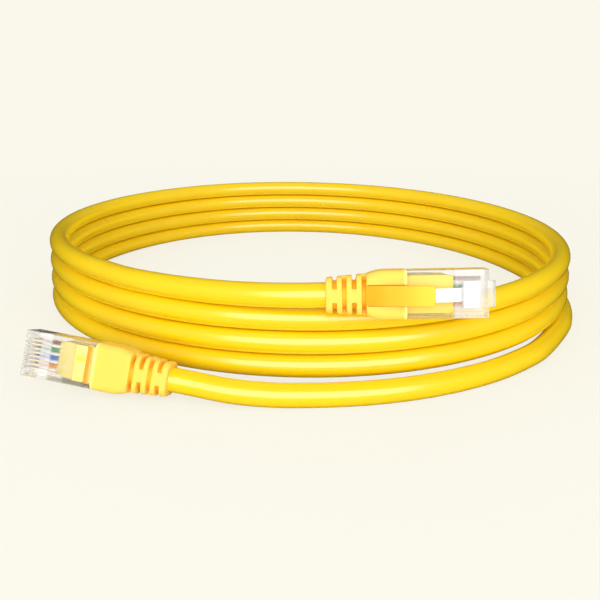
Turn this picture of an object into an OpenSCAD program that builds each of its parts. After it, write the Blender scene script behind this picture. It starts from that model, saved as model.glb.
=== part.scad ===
// Coiled network patch cable with a snagless eight-way modular plug moulded on each end.
// Millimetres. +Z is up, the cable lies on z = 0, and the origin is the middle of its footprint.

/* [Cable] */
// Outer diameter of the cable's jacket
cable_d = 6.2; // [5.6:0.1:6.4]
// Depth to which the soft jacket flattens on what it rests on
rest_flat = 0.25; // [0.2:0.05:0.4]

/* [Coil] */
// Radius of the coil, at the middle of the cable
coil_r = 88.5; // [84:0.5:94]
// How much longer than the mean radius the coil's long half axis is, and shorter its short one
coil_oval = 2.5; // [0:0.1:3]
// How much smaller each turn is than the one below it
turn_shrink = 0.35; // [0:0.01:0.6]
// How much more than the cable's diameter the turns are apart
turn_slack = 0.13; // [0.1:0.01:0.5]
// How far the loose bottom turn stands outside the others at the front
loose_out = 8.3; // [8:0.1:9]
// Rings of the coil's solid in each turn
rings_per_turn = 24; // [24:1:30]

/* [Plug housing] */
// Width of the plug
plug_w = 11.68; // [11.4:0.02:11.9]
// Length of the housing, with its tail inside the boot
plug_len = 21.5; // [21:0.1:23]
// Height of the housing, from its contact face to its latch face
plug_h = 6.6; // [6.4:0.1:6.8]
// Radius along the housing's long edges
plug_edge_r = 0.35; // [0.2:0.05:0.5]
// Thickness of the housing's side walls
side_wall = 0.95; // [0.8:0.05:1.1]
// Thickness of the housing's floor and roof
face_wall = 0.7; // [0.6:0.05:0.8]
// Length of the housing's tail inside the boot
tail_len = 2.3; // [2:0.1:3]
// How much narrower than the cavity's walls the tail is, each side
tail_step = 0.45; // [0.3:0.05:0.6]
// Distance from the nose to the end of the moulded core
core_nose_gap = 8.2; // [7.8:0.1:8.6]

/* [Contacts and wires] */
// Number of contacts and wires
way_count = 8; // [8:1:8]
// Distance from one contact to the next
way_pitch = 1.02; // [1:0.01:1.05]
// Thickness of a contact blade
blade_t = 0.35; // [0.25:0.05:0.4]
// Length of a contact blade along the plug
blade_len = 3.4; // [3:0.1:3.6]
// Distance of the blades behind the nose
blade_nose_gap = 1; // [0.8:0.1:1.2]
// Depth of the blades' edges below the contact face
blade_sink = 0.4; // [0.3:0.05:0.6]
// Clearance between a blade and the walls of its slot, each side
blade_play = 0.03; // [0.02:0.01:0.05]
// Diameter of an insulated wire
wire_d = 0.96; // [0.9:0.01:0.98]
// Diameter of the stranded copper in a wire
copper_d = 0.5; // [0.4:0.05:0.6]
// Clearance round a wire and round its copper
wire_play = 0.02; // [0.01:0.01:0.03]
// Distance from the nose to the wires' cut ends
wire_nose_gap = 1.6; // [1.4:0.1:2]

/* [Latch] */
// Width of the latch at its root
latch_w = 6.2; // [5.8:0.1:6.4]
// Width of the latch behind its shoulders
latch_neck_w = 3.25; // [3:0.05:3.5]
// Distance from the nose to the latch's shoulders
latch_shoulder = 6.4; // [6:0.1:7]
// Distance from the nose to the latch's free end
latch_reach = 14; // [13.5:0.1:14.5]
// Thickness of the latch
latch_t = 1; // [0.8:0.05:1.1]
// Angle between the latch at rest and the housing
latch_angle = 8.5; // [8:0.5:10]
// Clearance under the latch's root and round its knuckle
latch_play = 0.1; // [0.05:0.01:0.15]
// How far the latch's hinge lies in front of the nose
latch_hinge_out = 0.5; // [0.4:0.05:0.6]

/* [Boot] */
// Width of the boot at its front
boot_w = 11.9; // [11.7:0.05:12.4]
// Height of the boot at its front
boot_h = 8.6; // [8.4:0.1:9.4]
// Width of the boot where it meets the strain relief
boot_rear_w = 10; // [9.6:0.1:10.4]
// Height of the boot where it meets the strain relief
boot_rear_h = 8.2; // [8:0.1:8.6]
// Length of the boot without its strain relief
boot_len = 9.7; // [9.2:0.1:10.4]
// Length over which the boot widens
boot_taper = 4.3; // [4:0.1:5]
// Radius of the boot's long edges
boot_edge_r = 1.6; // [1.2:0.1:2]

/* [Strain relief] */
// Number of pairs of ribs, each pair cut by a side notch
relief_pairs = 2; // [1:1:3]
// Length of one rib
rib_len = 1.4; // [1.2:0.05:1.8]
// Length of one slot between ribs
slot_len = 0.95; // [0.8:0.05:1.2]
// Extra length of the last rib, round the cable
end_rib_extra = 0.3; // [0.2:0.05:0.6]
// Width of the last rib
relief_end_w = 8.45; // [8.2:0.05:9]
// Height of the last rib
relief_end_h = 7.6; // [7.5:0.1:8]
// Width of the bridge that a side notch leaves on each face
face_bridge_w = 3.5; // [3:0.1:4]
// Height of the bridge that a face slot leaves on each side
side_bridge_h = 3.2; // [2.8:0.1:3.6]
// Wall of the sleeve round the cable, under the slots
sleeve_wall = 0.45; // [0.35:0.05:0.6]
// Radius of the ribs' corners
rib_edge_r = 2.2; // [1.6:0.1:2.6]

/* [Latch cover] */
// Width of the boot's flap over the latch
cover_w = 4.9; // [4.6:0.1:5.2]
// Thickness of the flap
cover_t = 1.1; // [0.9:0.05:1.2]
// Distance from the nose to the flap's tip
cover_nose_gap = 13.1; // [12.8:0.1:13.4]
// Distance from the boot's rear end to the flap's hinge
cover_hinge_in = 1; // [0.9:0.1:1.4]
// Clearance at the flap's sides, below it and round its knuckle
cover_play = 0.15; // [0.1:0.01:0.2]
// Gap between the flap and the latch's free end at rest
cover_gap = 0.25; // [0.2:0.01:0.3]

/* [Hidden] */
$fn = 32;
eps = 0.01;

// Cable and coil
rest_z = cable_d / 2 - rest_flat;
turn_rise = cable_d + turn_slack;
coil_sides = 6;
lead_sides = 8;
wire_sides = 8;
copper_sides = 6;
// Angles run on from turn to turn: 0 is the front, 90 the right side, 180 the back
coil_start = 60;
coil_end = 1395;
coil_mid = [-0.8, 4.8];
oval_at = 54;
// The bottom turn lies flat up to climb_start; from there each turn climbs one pitch
climb_start = 214;
climb_len = 244;
loose_from = -20;
loose_to = 111;
ring_step = 360 / rings_per_turn;

// The plugs and the free stretches are placed round the coil: [angle from the front, how far outside the
// coil's mean radius, height of the cable's middle above the floor stretch or above the coil's end]
coil_end_z = coil_point(coil_end)[2];
function beside_coil(place, z) = [
    coil_mid[0] + (coil_r + place[1]) * sin(place[0]),
    coil_mid[1] - (coil_r + place[1]) * cos(place[0]),
    z + place[2]
];

// Places of the plugs: the rear end of each strain relief, then heading, rise and roll of the plug
plug_a_rear = beside_coil([-19.498, 10.37, 2.45], rest_z);
plug_a_turn = [169, 5.9, 20];
plug_b_rear = beside_coil([3.359, 2.205, 3.1], coil_end_z);
plug_b_turn = [-2.5, 2.5, -13];

// Free stretches between the straight ends, from the plug to the coil and from the coil to the plug
lead_a_places = [
    [-10.713, 9.406, 0.95],
    [-4.857, 8.348, 0.15],
    [1.072, 7.717, 0],
    [7.058, 7.528, 0],
    [13.138, 7.41, 0],
    [19.38, 7.33, 0],
    [25.896, 7.21, 0],
    [32.444, 7.125, 0],
    [38.829, 6.876, 0],
    [45.469, 6.609, 0],
];
lead_b_places = [
    [-35.302, -3.708, 0.1],
    [-28.616, -3.52, 0.4],
    [-21.379, -2.911, 0.8],
    [-14.148, -1.769, 1.3],
    [-7.278, -0.088, 2],
];
lead_a_points = [for (place = lead_a_places) beside_coil(place, rest_z)];
lead_b_points = [for (place = lead_b_places) beside_coil(place, coil_end_z)];

// Along the plug: x = 0 is the strain relief's rear end, +x points to the nose, +z to the latch
relief_cuts = 2 * relief_pairs;
relief_len = end_rib_extra + relief_cuts * (rib_len + slot_len);
boot_front_x = relief_len + boot_len;
tail_x = boot_front_x - tail_len;
nose_x = tail_x + plug_len;
contact_z = -plug_h / 2;
latch_z = plug_h / 2;

// Housing's cavity and its moulded core
cavity_w = plug_w - 2 * side_wall;
cavity_h = plug_h - 2 * face_wall;
tail_w = plug_w - 2 * side_wall + 2 * tail_step;
tail_roof = 0.35;
tail_h = cavity_h + face_wall + tail_roof;
tail_mid_z = (tail_roof - face_wall) / 2;
core_x = nose_x - core_nose_gap;
core_chamfer = [2.6, 0.75];
core_ramp = [6, 2.1];
core_play = 0.02;
window_nose_gap = 13.9;
window_x = nose_x - window_nose_gap;
window_len = 4.1;
window_w = 9.1;
window_groove = 1.2;
pad_sink = 0.15;
groove_depth = 0.5;
pocket_size = 0.85;
pocket_depth = 1;
pocket_nose_gap = 1.8;
pocket_x = nose_x - pocket_nose_gap;
pocket_y = cavity_w / 2 - 0.04;

// Wires: from the jacket's end they spread to the contacts' pitch
wire_z = 0.3;
wire_end_x = nose_x - wire_nose_gap;
kink_nose_gap = 11;
wire_kink_x = nose_x - kink_nose_gap;
bundle_pitch = 0.7;
bundle_lift = 0.6;
wire_r = wire_d / 2;
copper_r = copper_d / 2;
wire_slot_h = wire_d + 2 * wire_play;
wire_slot_w = way_count * way_pitch;
wire_colors = [
    "white", "darkorange", "white", "royalblue", "white", "seagreen", "white", "saddlebrown"
];
WIRE_NAMES = [
    "wire_1_white_orange", "wire_2_orange", "wire_3_white_green", "wire_4_blue",
    "wire_5_white_blue", "wire_6_green", "wire_7_white_brown", "wire_8_brown"
];

// Contact blades: a body under the contact face and two tines in the wire
blade_x = nose_x - blade_nose_gap - blade_len;
blade_top_z = contact_z + blade_sink;
blade_body_z = wire_z - wire_r - 0.1;
tine_tip_z = wire_z + copper_r;
tine_len = 0.6;
tine_inset = 0.5;
blade_corner_r = 0.5;
mouth_depth = 1.5;

// Boot: bevel of its front edge, and how much lower than the ribs the bridges between them are
boot_rim = 0.25;
bridge_step = 0.05;

// Latch hinge and the flap's hinge
latch_hinge_x = nose_x + latch_hinge_out;
latch_hinge_z = latch_z + latch_t / 2 + latch_play;
web_front = latch_t / 2 + latch_play + 0.3;
web_drop = 2;
cover_hinge_x = relief_len + cover_hinge_in;
cover_floor_z = cable_d / 2 + 0.15;
cover_hinge_z = cover_floor_z + cover_t / 2 + cover_play;
cover_step = 0.05;
cover_tip_x = nose_x - cover_nose_gap;
latch_end_x = nose_x - latch_reach;
latch_end_z = latch_hinge_z + (latch_hinge_x - latch_end_x) * tan(latch_angle) + latch_t / 2 / cos(latch_angle);
cover_angle = atan2(latch_end_z + cover_gap + cover_t / 2 - cover_hinge_z, latch_end_x - cover_hinge_x);

PLUG_PARTS = [
    "housing", "latch", "boot", "latch_cover", "moulded_core", "jacket_end", "contacts", "copper_cores"
];
function plug_nodes(name) = concat(
    [for (part = PLUG_PARTS) str(name, "_", part)],
    [for (wire = WIRE_NAMES) str(name, "_", wire)]
);

// ---- the cable's route ----

function clamp01(v) = min(1, max(0, v));
function loose_share(t) = 0.5 + 0.5 * cos(180 * clamp01((t - loose_from) / (loose_to - loose_from)));
function smooth(v) = v * v * (3 - 2 * v);
function turns(t) = (t - climb_start) / 360;
function level(t) =
    let (n = turns(t), full = floor(n))
    n < 0 ? 0 : full + smooth(clamp01((n - full) * 360 / climb_len));
function coil_radius(t) =
    coil_r + coil_oval * cos(2 * (t - oval_at)) + loose_out * loose_share(t) - turn_shrink * max(0, turns(t));
function coil_point(t) = [
    coil_mid[0] + coil_radius(t) * sin(t),
    coil_mid[1] - coil_radius(t) * cos(t),
    rest_z + turn_rise * level(t)
];

function unit(v) = v / norm(v);
function heading_of(turn) = [
    cos(turn[0]) * cos(turn[1]),
    sin(turn[0]) * cos(turn[1]),
    sin(turn[1])
];
// Points one cable diameter inside each end, which keep the ends straight
function after_coil_start() = coil_point(coil_start) + cable_d * unit(coil_point(coil_start + 1) - coil_point(coil_start));
function before_coil_end() = coil_point(coil_end) - cable_d * unit(coil_point(coil_end) - coil_point(coil_end - 1));
function before_coil_start() = 2 * coil_point(coil_start) - after_coil_start();
function after_coil_end() = 2 * coil_point(coil_end) - before_coil_end();

coil_route = concat(
    [coil_point(coil_start), after_coil_start()],
    [for (t = [coil_start + ring_step : ring_step : coil_end - ring_step / 2]) coil_point(t)],
    [before_coil_end(), coil_point(coil_end)]
);
lead_a_route = concat(
    [plug_a_rear, plug_a_rear - cable_d * heading_of(plug_a_turn)],
    lead_a_points,
    [before_coil_start(), coil_point(coil_start)]
);
lead_b_route = concat(
    [coil_point(coil_end), after_coil_end()],
    lead_b_points,
    [plug_b_rear - cable_d * heading_of(plug_b_turn), plug_b_rear]
);

// ---- tubes swept along a route, with a flat side down ----

function along(route, i) = unit(route[min(i + 1, len(route) - 1)] - route[max(i - 1, 0)]);
function ring(route, i, sides, r) =
    let (
        ahead = along(route, i),
        out = unit(cross([0, 0, 1], ahead)),
        up = cross(ahead, out)
    )
    [for (k = [0 : sides - 1])
        let (a = 90 - 180 / sides + k * 360 / sides)
        route[i] + r / cos(180 / sides) * (cos(a) * out + sin(a) * up)];
function flat(lists) = [for (list = lists) for (item = list) item];
function side_faces(rings, sides) = [
    for (i = [0 : rings - 2]) for (k = [0 : sides - 1])
        let (a = i * sides + k, b = i * sides + (k + 1) % sides)
        for (face = [[a, b, b + sides], [a, b + sides, a + sides]]) face
];
function cap_faces(first, sides, back) = [
    for (k = [1 : sides - 2]) back ? [first, first + k + 1, first + k] : [first, first + k, first + k + 1]
];
module tube(route, sides, r) {
    rings = len(route);
    points = flat([for (i = [0 : rings - 1]) ring(route, i, sides, r)]);
    faces = concat(
        side_faces(rings, sides),
        cap_faces(0, sides, true),
        cap_faces((rings - 1) * sides, sides, false)
    );
    polyhedron(points, [for (face = faces) [face[0], face[2], face[1]]]);
}

// Least gap of the coil to itself, between points round rings about a turn apart
function rim(route, i) =
    let (corners = ring(route, i, coil_sides, rest_z))
    flat([for (k = [0 : coil_sides - 1])
        let (a = corners[k], b = corners[(k + 1) % coil_sides])
        [for (share = [0 : 0.25 : 0.75]) a + share * (b - a)]]);
function least_distance(a, b) = min([for (p = a) min([for (q = b) norm(p - q)])]);
coil_rims = [for (i = [0 : len(coil_route) - 1]) rim(coil_route, i)];
coil_gap = min([
    for (i = [0 : len(coil_route) - rings_per_turn - 2])
        for (step = [-1 : 1])
            least_distance(coil_rims[i], coil_rims[i + rings_per_turn + step])
]);
echo(str("Least gap of the coil to itself: ", coil_gap, " mm"));

// ---- shapes along the plug ----

// A bar along +X from x, centred on the plug's axis, with rounded long edges
module bar(x, length, w, h, r) {
    translate([x, 0, 0])
        rotate([90, 0, 90])
            linear_extrude(length)
                rounded(w, h, r);
}

module rounded(w, h, r) {
    square([w - 2 * r, h], center = true);
    square([w, h - 2 * r], center = true);
    for (x = [-1, 1], y = [-1, 1])
        translate([x * (w / 2 - r), y * (h / 2 - r)])
            circle(r);
}

// A block from low to high corner
module block(low, high) {
    translate(low) cube(high - low);
}

// A side outline in x and z, as wide as w across the plug
module side_outline(points, w) {
    translate([0, w / 2, 0])
        rotate([90, 0, 0])
            linear_extrude(w)
                polygon(points);
}

// A plan outline in x and y, from z low to high
module plan_outline(points, low, high) {
    translate([0, 0, low])
        linear_extrude(high - low)
            polygon(points);
}

// A cylinder across the plug
module cross_pin(x, z, r, w) {
    translate([x, w / 2, z])
        rotate([90, 0, 0])
            cylinder(h = w, r = r);
}

function way_y(k) = (k - (way_count - 1) / 2) * way_pitch;
function bundle_point(k) = [
    tail_x,
    (k - (way_count - 1) / 2) * bundle_pitch,
    wire_z + (k % 2 == 0 ? bundle_lift : -bundle_lift)
];

// A wire's tube: it spreads from the jacket's end to its contact's place and runs straight to the nose
module wire_tube(k, r, sides, extra = 0) {
    start = bundle_point(k);
    kink = [wire_kink_x, way_y(k), wire_z];
    tube([start - extra * unit(kink - start), kink, [wire_end_x + extra, way_y(k), wire_z]], sides, r);
}

// ---- sub-parts of a plug ----

// The outline of the core in the housing: chamfered in plan, ramped on the contact side
module core_space(play) {
    half = cavity_w / 2 - play;
    low = -cavity_h / 2 + play;
    high = cavity_h / 2 - play;
    end = core_x - play;
    intersection() {
        plan_outline([
            [tail_x, -half],
            [end - core_chamfer[0], -half],
            [end, -half + core_chamfer[1]],
            [end, half - core_chamfer[1]],
            [end - core_chamfer[0], half],
            [tail_x, half],
        ], low, high);
        side_outline([
            [tail_x, low],
            [end - core_ramp[0], low],
            [end, low + core_ramp[1]],
            [end, high],
            [tail_x, high],
        ], 2 * half);
    }
}

module blade_slots() {
    slot_w = blade_t + 2 * blade_play;
    for (k = [0 : way_count - 1])
        translate([0, way_y(k), 0]) {
            block(
                [blade_x - blade_play, -slot_w / 2, contact_z - 1],
                [nose_x - blade_nose_gap + blade_play, slot_w / 2, wire_z]
            );
            block(
                [nose_x - blade_nose_gap - 1, -slot_w / 2, contact_z - 1],
                [nose_x + 1, slot_w / 2, contact_z + mouth_depth]
            );
        }
}

// The web in front of the nose, in which the latch's root turns
module latch_web() {
    difference() {
        block(
            [nose_x - eps, -latch_w / 2, latch_hinge_z - web_drop],
            [latch_hinge_x + web_front, latch_w / 2, latch_hinge_z]
        );
        cross_pin(latch_hinge_x, latch_hinge_z, latch_t / 2 + latch_play, latch_w + 1);
        block(
            [nose_x - 1, -latch_w, latch_z],
            [latch_hinge_x, latch_w, latch_hinge_z + 1]
        );
    }
}

module housing() {
    color([0.88, 0.93, 0.96, 0.4])
        difference() {
            union() {
                bar(boot_front_x, plug_len - tail_len, plug_w, plug_h, plug_edge_r);
                translate([0, 0, tail_mid_z])
                    bar(tail_x, tail_len + 1, tail_w, tail_h, plug_edge_r);
                latch_web();
            }
            core_space(0);
            block([tail_x - 1, -cavity_w / 2, -cavity_h / 2], [tail_x + eps, cavity_w / 2, cavity_h / 2]);
            block(
                [core_x - 1, -wire_slot_w / 2, wire_z - wire_slot_h / 2],
                [wire_end_x + 0.4, wire_slot_w / 2, wire_z + wire_slot_h / 2]
            );
            blade_slots();
            block(
                [window_x - window_len, -window_w / 2, contact_z - 1],
                [window_x, window_w / 2, 0]
            );
            for (side = [-1, 1])
                translate([pocket_x, side * pocket_y, contact_z])
                    cube([pocket_size, pocket_size, 2 * pocket_depth], center = true);
        }
}

module latch() {
    length = (latch_hinge_x - latch_end_x) / cos(latch_angle);
    shoulder = (latch_hinge_x - nose_x + latch_shoulder) / cos(latch_angle);
    color([0.9, 0.95, 0.98, 0.5])
        translate([latch_hinge_x, 0, latch_hinge_z]) {
            cross_pin(0, 0, latch_t / 2, latch_w);
            rotate([0, latch_angle, 0]) {
                block([-shoulder, -latch_w / 2, -latch_t / 2], [0, latch_w / 2, latch_t / 2]);
                block([-length, -latch_neck_w / 2, -latch_t / 2], [-shoulder + 1, latch_neck_w / 2, latch_t / 2]);
            }
        }
}

// Start of rib k, counted from the cable
function rib_x(k) = k == 0 ? 0 : end_rib_extra + k * (rib_len + slot_len);
function relief_size(x) = let (share = x / relief_len) [
    relief_end_w + share * (boot_rear_w - relief_end_w),
    relief_end_h + share * (boot_rear_h - relief_end_h)
];

module strain_relief() {
    for (k = [0 : relief_cuts - 1]) {
        start = rib_x(k);
        stop = rib_x(k + 1) - slot_len;
        size = relief_size((start + stop) / 2);
        bridge = [size[0] - 2 * bridge_step, size[1] - 2 * bridge_step];
        bar(start, stop - start, size[0], size[1], rib_edge_r);
        if (k % 2 == 0)
            bar(stop - rib_len / 2, slot_len + rib_len, face_bridge_w, bridge[1], 0.3);
        else
            bar(stop - rib_len / 2, slot_len + rib_len, bridge[0], side_bridge_h, 0.3);
    }
    rotate([0, 90, 0])
        cylinder(h = relief_len + 1, d = cable_d + 2 * sleeve_wall);
}

// Half of an outline that tapers at the rear, runs on outside the boot and comes back to bevel the front
function boot_half(rear, front) = [
    [relief_len - eps, rear / 2],
    [relief_len + 2 * boot_taper, front - rear / 2],
    [boot_front_x + eps, front / 2 - boot_rim],
];
function mirrored(half) = concat(half, [for (k = [len(half) - 1 : -1 : 0]) [half[k][0], -half[k][1]]]);

module boot_body() {
    intersection() {
        bar(relief_len, boot_len, boot_w, boot_h, boot_edge_r);
        plan_outline(mirrored(boot_half(boot_rear_w, boot_w)), -boot_h, boot_h);
        side_outline(mirrored(boot_half(boot_rear_h, boot_h)), 2 * boot_w);
    }
}

module boot() {
    color("gold")
        difference() {
            union() {
                boot_body();
                strain_relief();
            }
            translate([-1, 0, 0])
                rotate([0, 90, 0])
                    cylinder(h = tail_x + 1, d = cable_d);
            translate([0, 0, tail_mid_z])
                bar(tail_x, tail_len + 1, tail_w, tail_h, plug_edge_r);
            // The flap's recess and the seat of its knuckle
            block(
                [cover_hinge_x, -cover_w / 2 - cover_play, cover_floor_z + cover_step],
                [boot_front_x + 1, cover_w / 2 + cover_play, boot_h]
            );
            cross_pin(cover_hinge_x, cover_hinge_z, cover_t / 2 + cover_play, cover_w + 2 * cover_play);
        }
}

module latch_cover() {
    length = (cover_tip_x - cover_hinge_x) / cos(cover_angle);
    tip_r = 0.4;
    color("orange")
        translate([cover_hinge_x, 0, cover_hinge_z]) {
            cross_pin(0, 0, cover_t / 2, cover_w);
            rotate([0, -cover_angle, 0]) {
                block([0, -cover_w / 2, -cover_t / 2], [length - tip_r, cover_w / 2, cover_t / 2]);
                plan_outline([
                    [length - 1, -cover_w / 2 + tip_r],
                    [length, -cover_w / 2 + tip_r],
                    [length, cover_w / 2 - tip_r],
                    [length - 1, cover_w / 2 - tip_r],
                ], -cover_t / 2, cover_t / 2);
                for (side = [-1, 1])
                    translate([length - tip_r, side * (cover_w / 2 - tip_r), -cover_t / 2])
                        cylinder(h = cover_t, r = tip_r);
            }
        }
}

module moulded_core() {
    color("khaki")
        difference() {
            union() {
                core_space(core_play);
                // The pad that fills the window in the contact face
                block(
                    [window_x - window_len + window_groove, -window_w / 2 + core_play, contact_z + pad_sink],
                    [window_x - core_play, window_w / 2 - core_play, 0]
                );
            }
            block(
                [window_x - window_len, -window_w / 2, contact_z],
                [window_x - window_len + window_groove, window_w / 2, -cavity_h / 2 + groove_depth]
            );
            for (k = [0 : way_count - 1])
                wire_tube(k, wire_r + wire_play, wire_sides, 1);
        }
}

module jacket_end() {
    color("gold")
        rotate([0, 90, 0])
            cylinder(h = tail_x, d = cable_d);
}

module blade_outline() {
    top = blade_top_z;
    end = blade_x + blade_len;
    polygon([
        [blade_x, top],
        [end - blade_corner_r, top],
        [end, top + blade_corner_r],
        [end, blade_body_z],
        [end - tine_inset, blade_body_z],
        [end - tine_inset - tine_len / 2, tine_tip_z],
        [end - tine_inset - tine_len, blade_body_z],
        [blade_x + tine_inset + tine_len, blade_body_z],
        [blade_x + tine_inset + tine_len / 2, tine_tip_z],
        [blade_x + tine_inset, blade_body_z],
        [blade_x, blade_body_z],
    ]);
}

module blade(k, t) {
    translate([0, way_y(k) + t / 2, 0])
        rotate([90, 0, 0])
            linear_extrude(t)
                blade_outline();
}

module contacts() {
    color("goldenrod")
        for (k = [0 : way_count - 1])
            blade(k, blade_t);
}

module copper_cores() {
    color("chocolate")
        for (k = [0 : way_count - 1])
            difference() {
                wire_tube(k, copper_r, copper_sides);
                blade(k, blade_t);
            }
}

module wire(k) {
    color(wire_colors[k])
        difference() {
            wire_tube(k, wire_r, wire_sides);
            wire_tube(k, copper_r + wire_play, copper_sides, 1);
            blade(k, blade_t);
        }
}

// ---- placing ----

// Children stand in the plug's own frame and go to the rear point, turned by heading, rise and roll
module at_plug(rear, turn) {
    translate(rear)
        rotate([0, 0, turn[0]])
            rotate([0, -turn[1], 0])
                rotate([90 + turn[2], 0, 0])
                    children();
}

module plug(name, rear, turn) {
    at_plug(rear, turn) {
        housing();
        latch();
        boot();
        latch_cover();
        moulded_core();
        jacket_end();
        contacts();
        copper_cores();
        for (k = [0 : way_count - 1])
            wire(k);
    }
}

module coil() {
    color("gold") tube(coil_route, coil_sides, rest_z);
}

module lead_a() {
    color("gold") tube(lead_a_route, lead_sides, rest_z);
}

module lead_b() {
    color("gold") tube(lead_b_route, lead_sides, rest_z);
}

coil();
lead_a();
lead_b();
plug("plug_a", plug_a_rear, plug_a_turn);
plug("plug_b", plug_b_rear, plug_b_turn);
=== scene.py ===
"""Looks of a coiled network patch cable with a clear eight-way plug and a snagless boot at each end."""

import sys

import logging
import math
from dataclasses import dataclass, field
from enum import Enum
from typing import Any, Sequence

import bmesh
import bpy
import numpy as np
from bpy.types import ColorRamp, Material, Mesh, Node, NodeSocket, NodeTree, Object
from mathutils import Matrix, Vector


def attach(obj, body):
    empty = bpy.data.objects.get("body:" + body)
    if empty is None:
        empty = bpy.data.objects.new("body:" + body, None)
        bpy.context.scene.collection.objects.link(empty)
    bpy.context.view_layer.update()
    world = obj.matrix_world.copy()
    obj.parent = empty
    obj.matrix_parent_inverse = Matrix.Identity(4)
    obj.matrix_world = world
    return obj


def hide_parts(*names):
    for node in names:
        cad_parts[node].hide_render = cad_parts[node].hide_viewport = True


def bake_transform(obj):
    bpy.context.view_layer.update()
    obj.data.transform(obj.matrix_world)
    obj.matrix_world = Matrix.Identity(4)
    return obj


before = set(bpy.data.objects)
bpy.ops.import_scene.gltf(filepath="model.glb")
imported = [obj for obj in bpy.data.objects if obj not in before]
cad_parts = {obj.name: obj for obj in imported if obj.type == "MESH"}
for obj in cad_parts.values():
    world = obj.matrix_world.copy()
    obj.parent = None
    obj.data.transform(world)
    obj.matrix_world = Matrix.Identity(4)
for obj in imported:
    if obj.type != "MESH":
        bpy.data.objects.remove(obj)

LOG = logging.getLogger("patch_cable")
MM = 0.001
PITCH = 1.02  # from contact to contact and from wire to wire, in millimetres
TINY = 1e-9
WHITE = (1.0, 1.0, 1.0)
Triple = tuple[float, float, float]
Colour = tuple[float, float, float]
Stops = Sequence[tuple[float, Any]]
Settings = dict[str, Any] | None
Values = dict[int | str, Any] | None


# ---------------------------------------------------------------- node trees


class Signal:
    """A socket of a node tree that takes part in sums and products."""

    def __init__(self, graph: "Graph", socket: NodeSocket) -> None:
        """Keeps the graph and the output socket."""
        self.graph = graph
        self.socket = socket

    def _math(self, operation: str, first: Any, second: Any) -> "Signal":
        """Adds one Math node and returns its output."""
        return self.graph.get("ShaderNodeMath", {"operation": operation}, {0: first, 1: second})

    def __add__(self, other: Any) -> "Signal":
        """This value plus another."""
        return self._math("ADD", self, other)

    def __sub__(self, other: Any) -> "Signal":
        """This value minus another."""
        return self._math("SUBTRACT", self, other)

    def __rsub__(self, other: Any) -> "Signal":
        """A number minus this value."""
        return self._math("SUBTRACT", other, self)

    def __mul__(self, other: Any) -> "Signal":
        """This value times another."""
        return self._math("MULTIPLY", self, other)

    def above(self, limit: float) -> "Signal":
        """1 where this value is over a limit, else 0."""
        return self._math("GREATER_THAN", self, limit)

    def larger(self, other: Any) -> "Signal":
        """The larger of this value and another."""
        return self._math("MAXIMUM", self, other)

    def size(self) -> "Signal":
        """This value without its sign."""
        return self._math("ABSOLUTE", self, 0.0)

    def fold(self, width: float) -> "Signal":
        """This value sent up and down between 0 and a width."""
        return self._math("PINGPONG", self, width)


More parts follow.
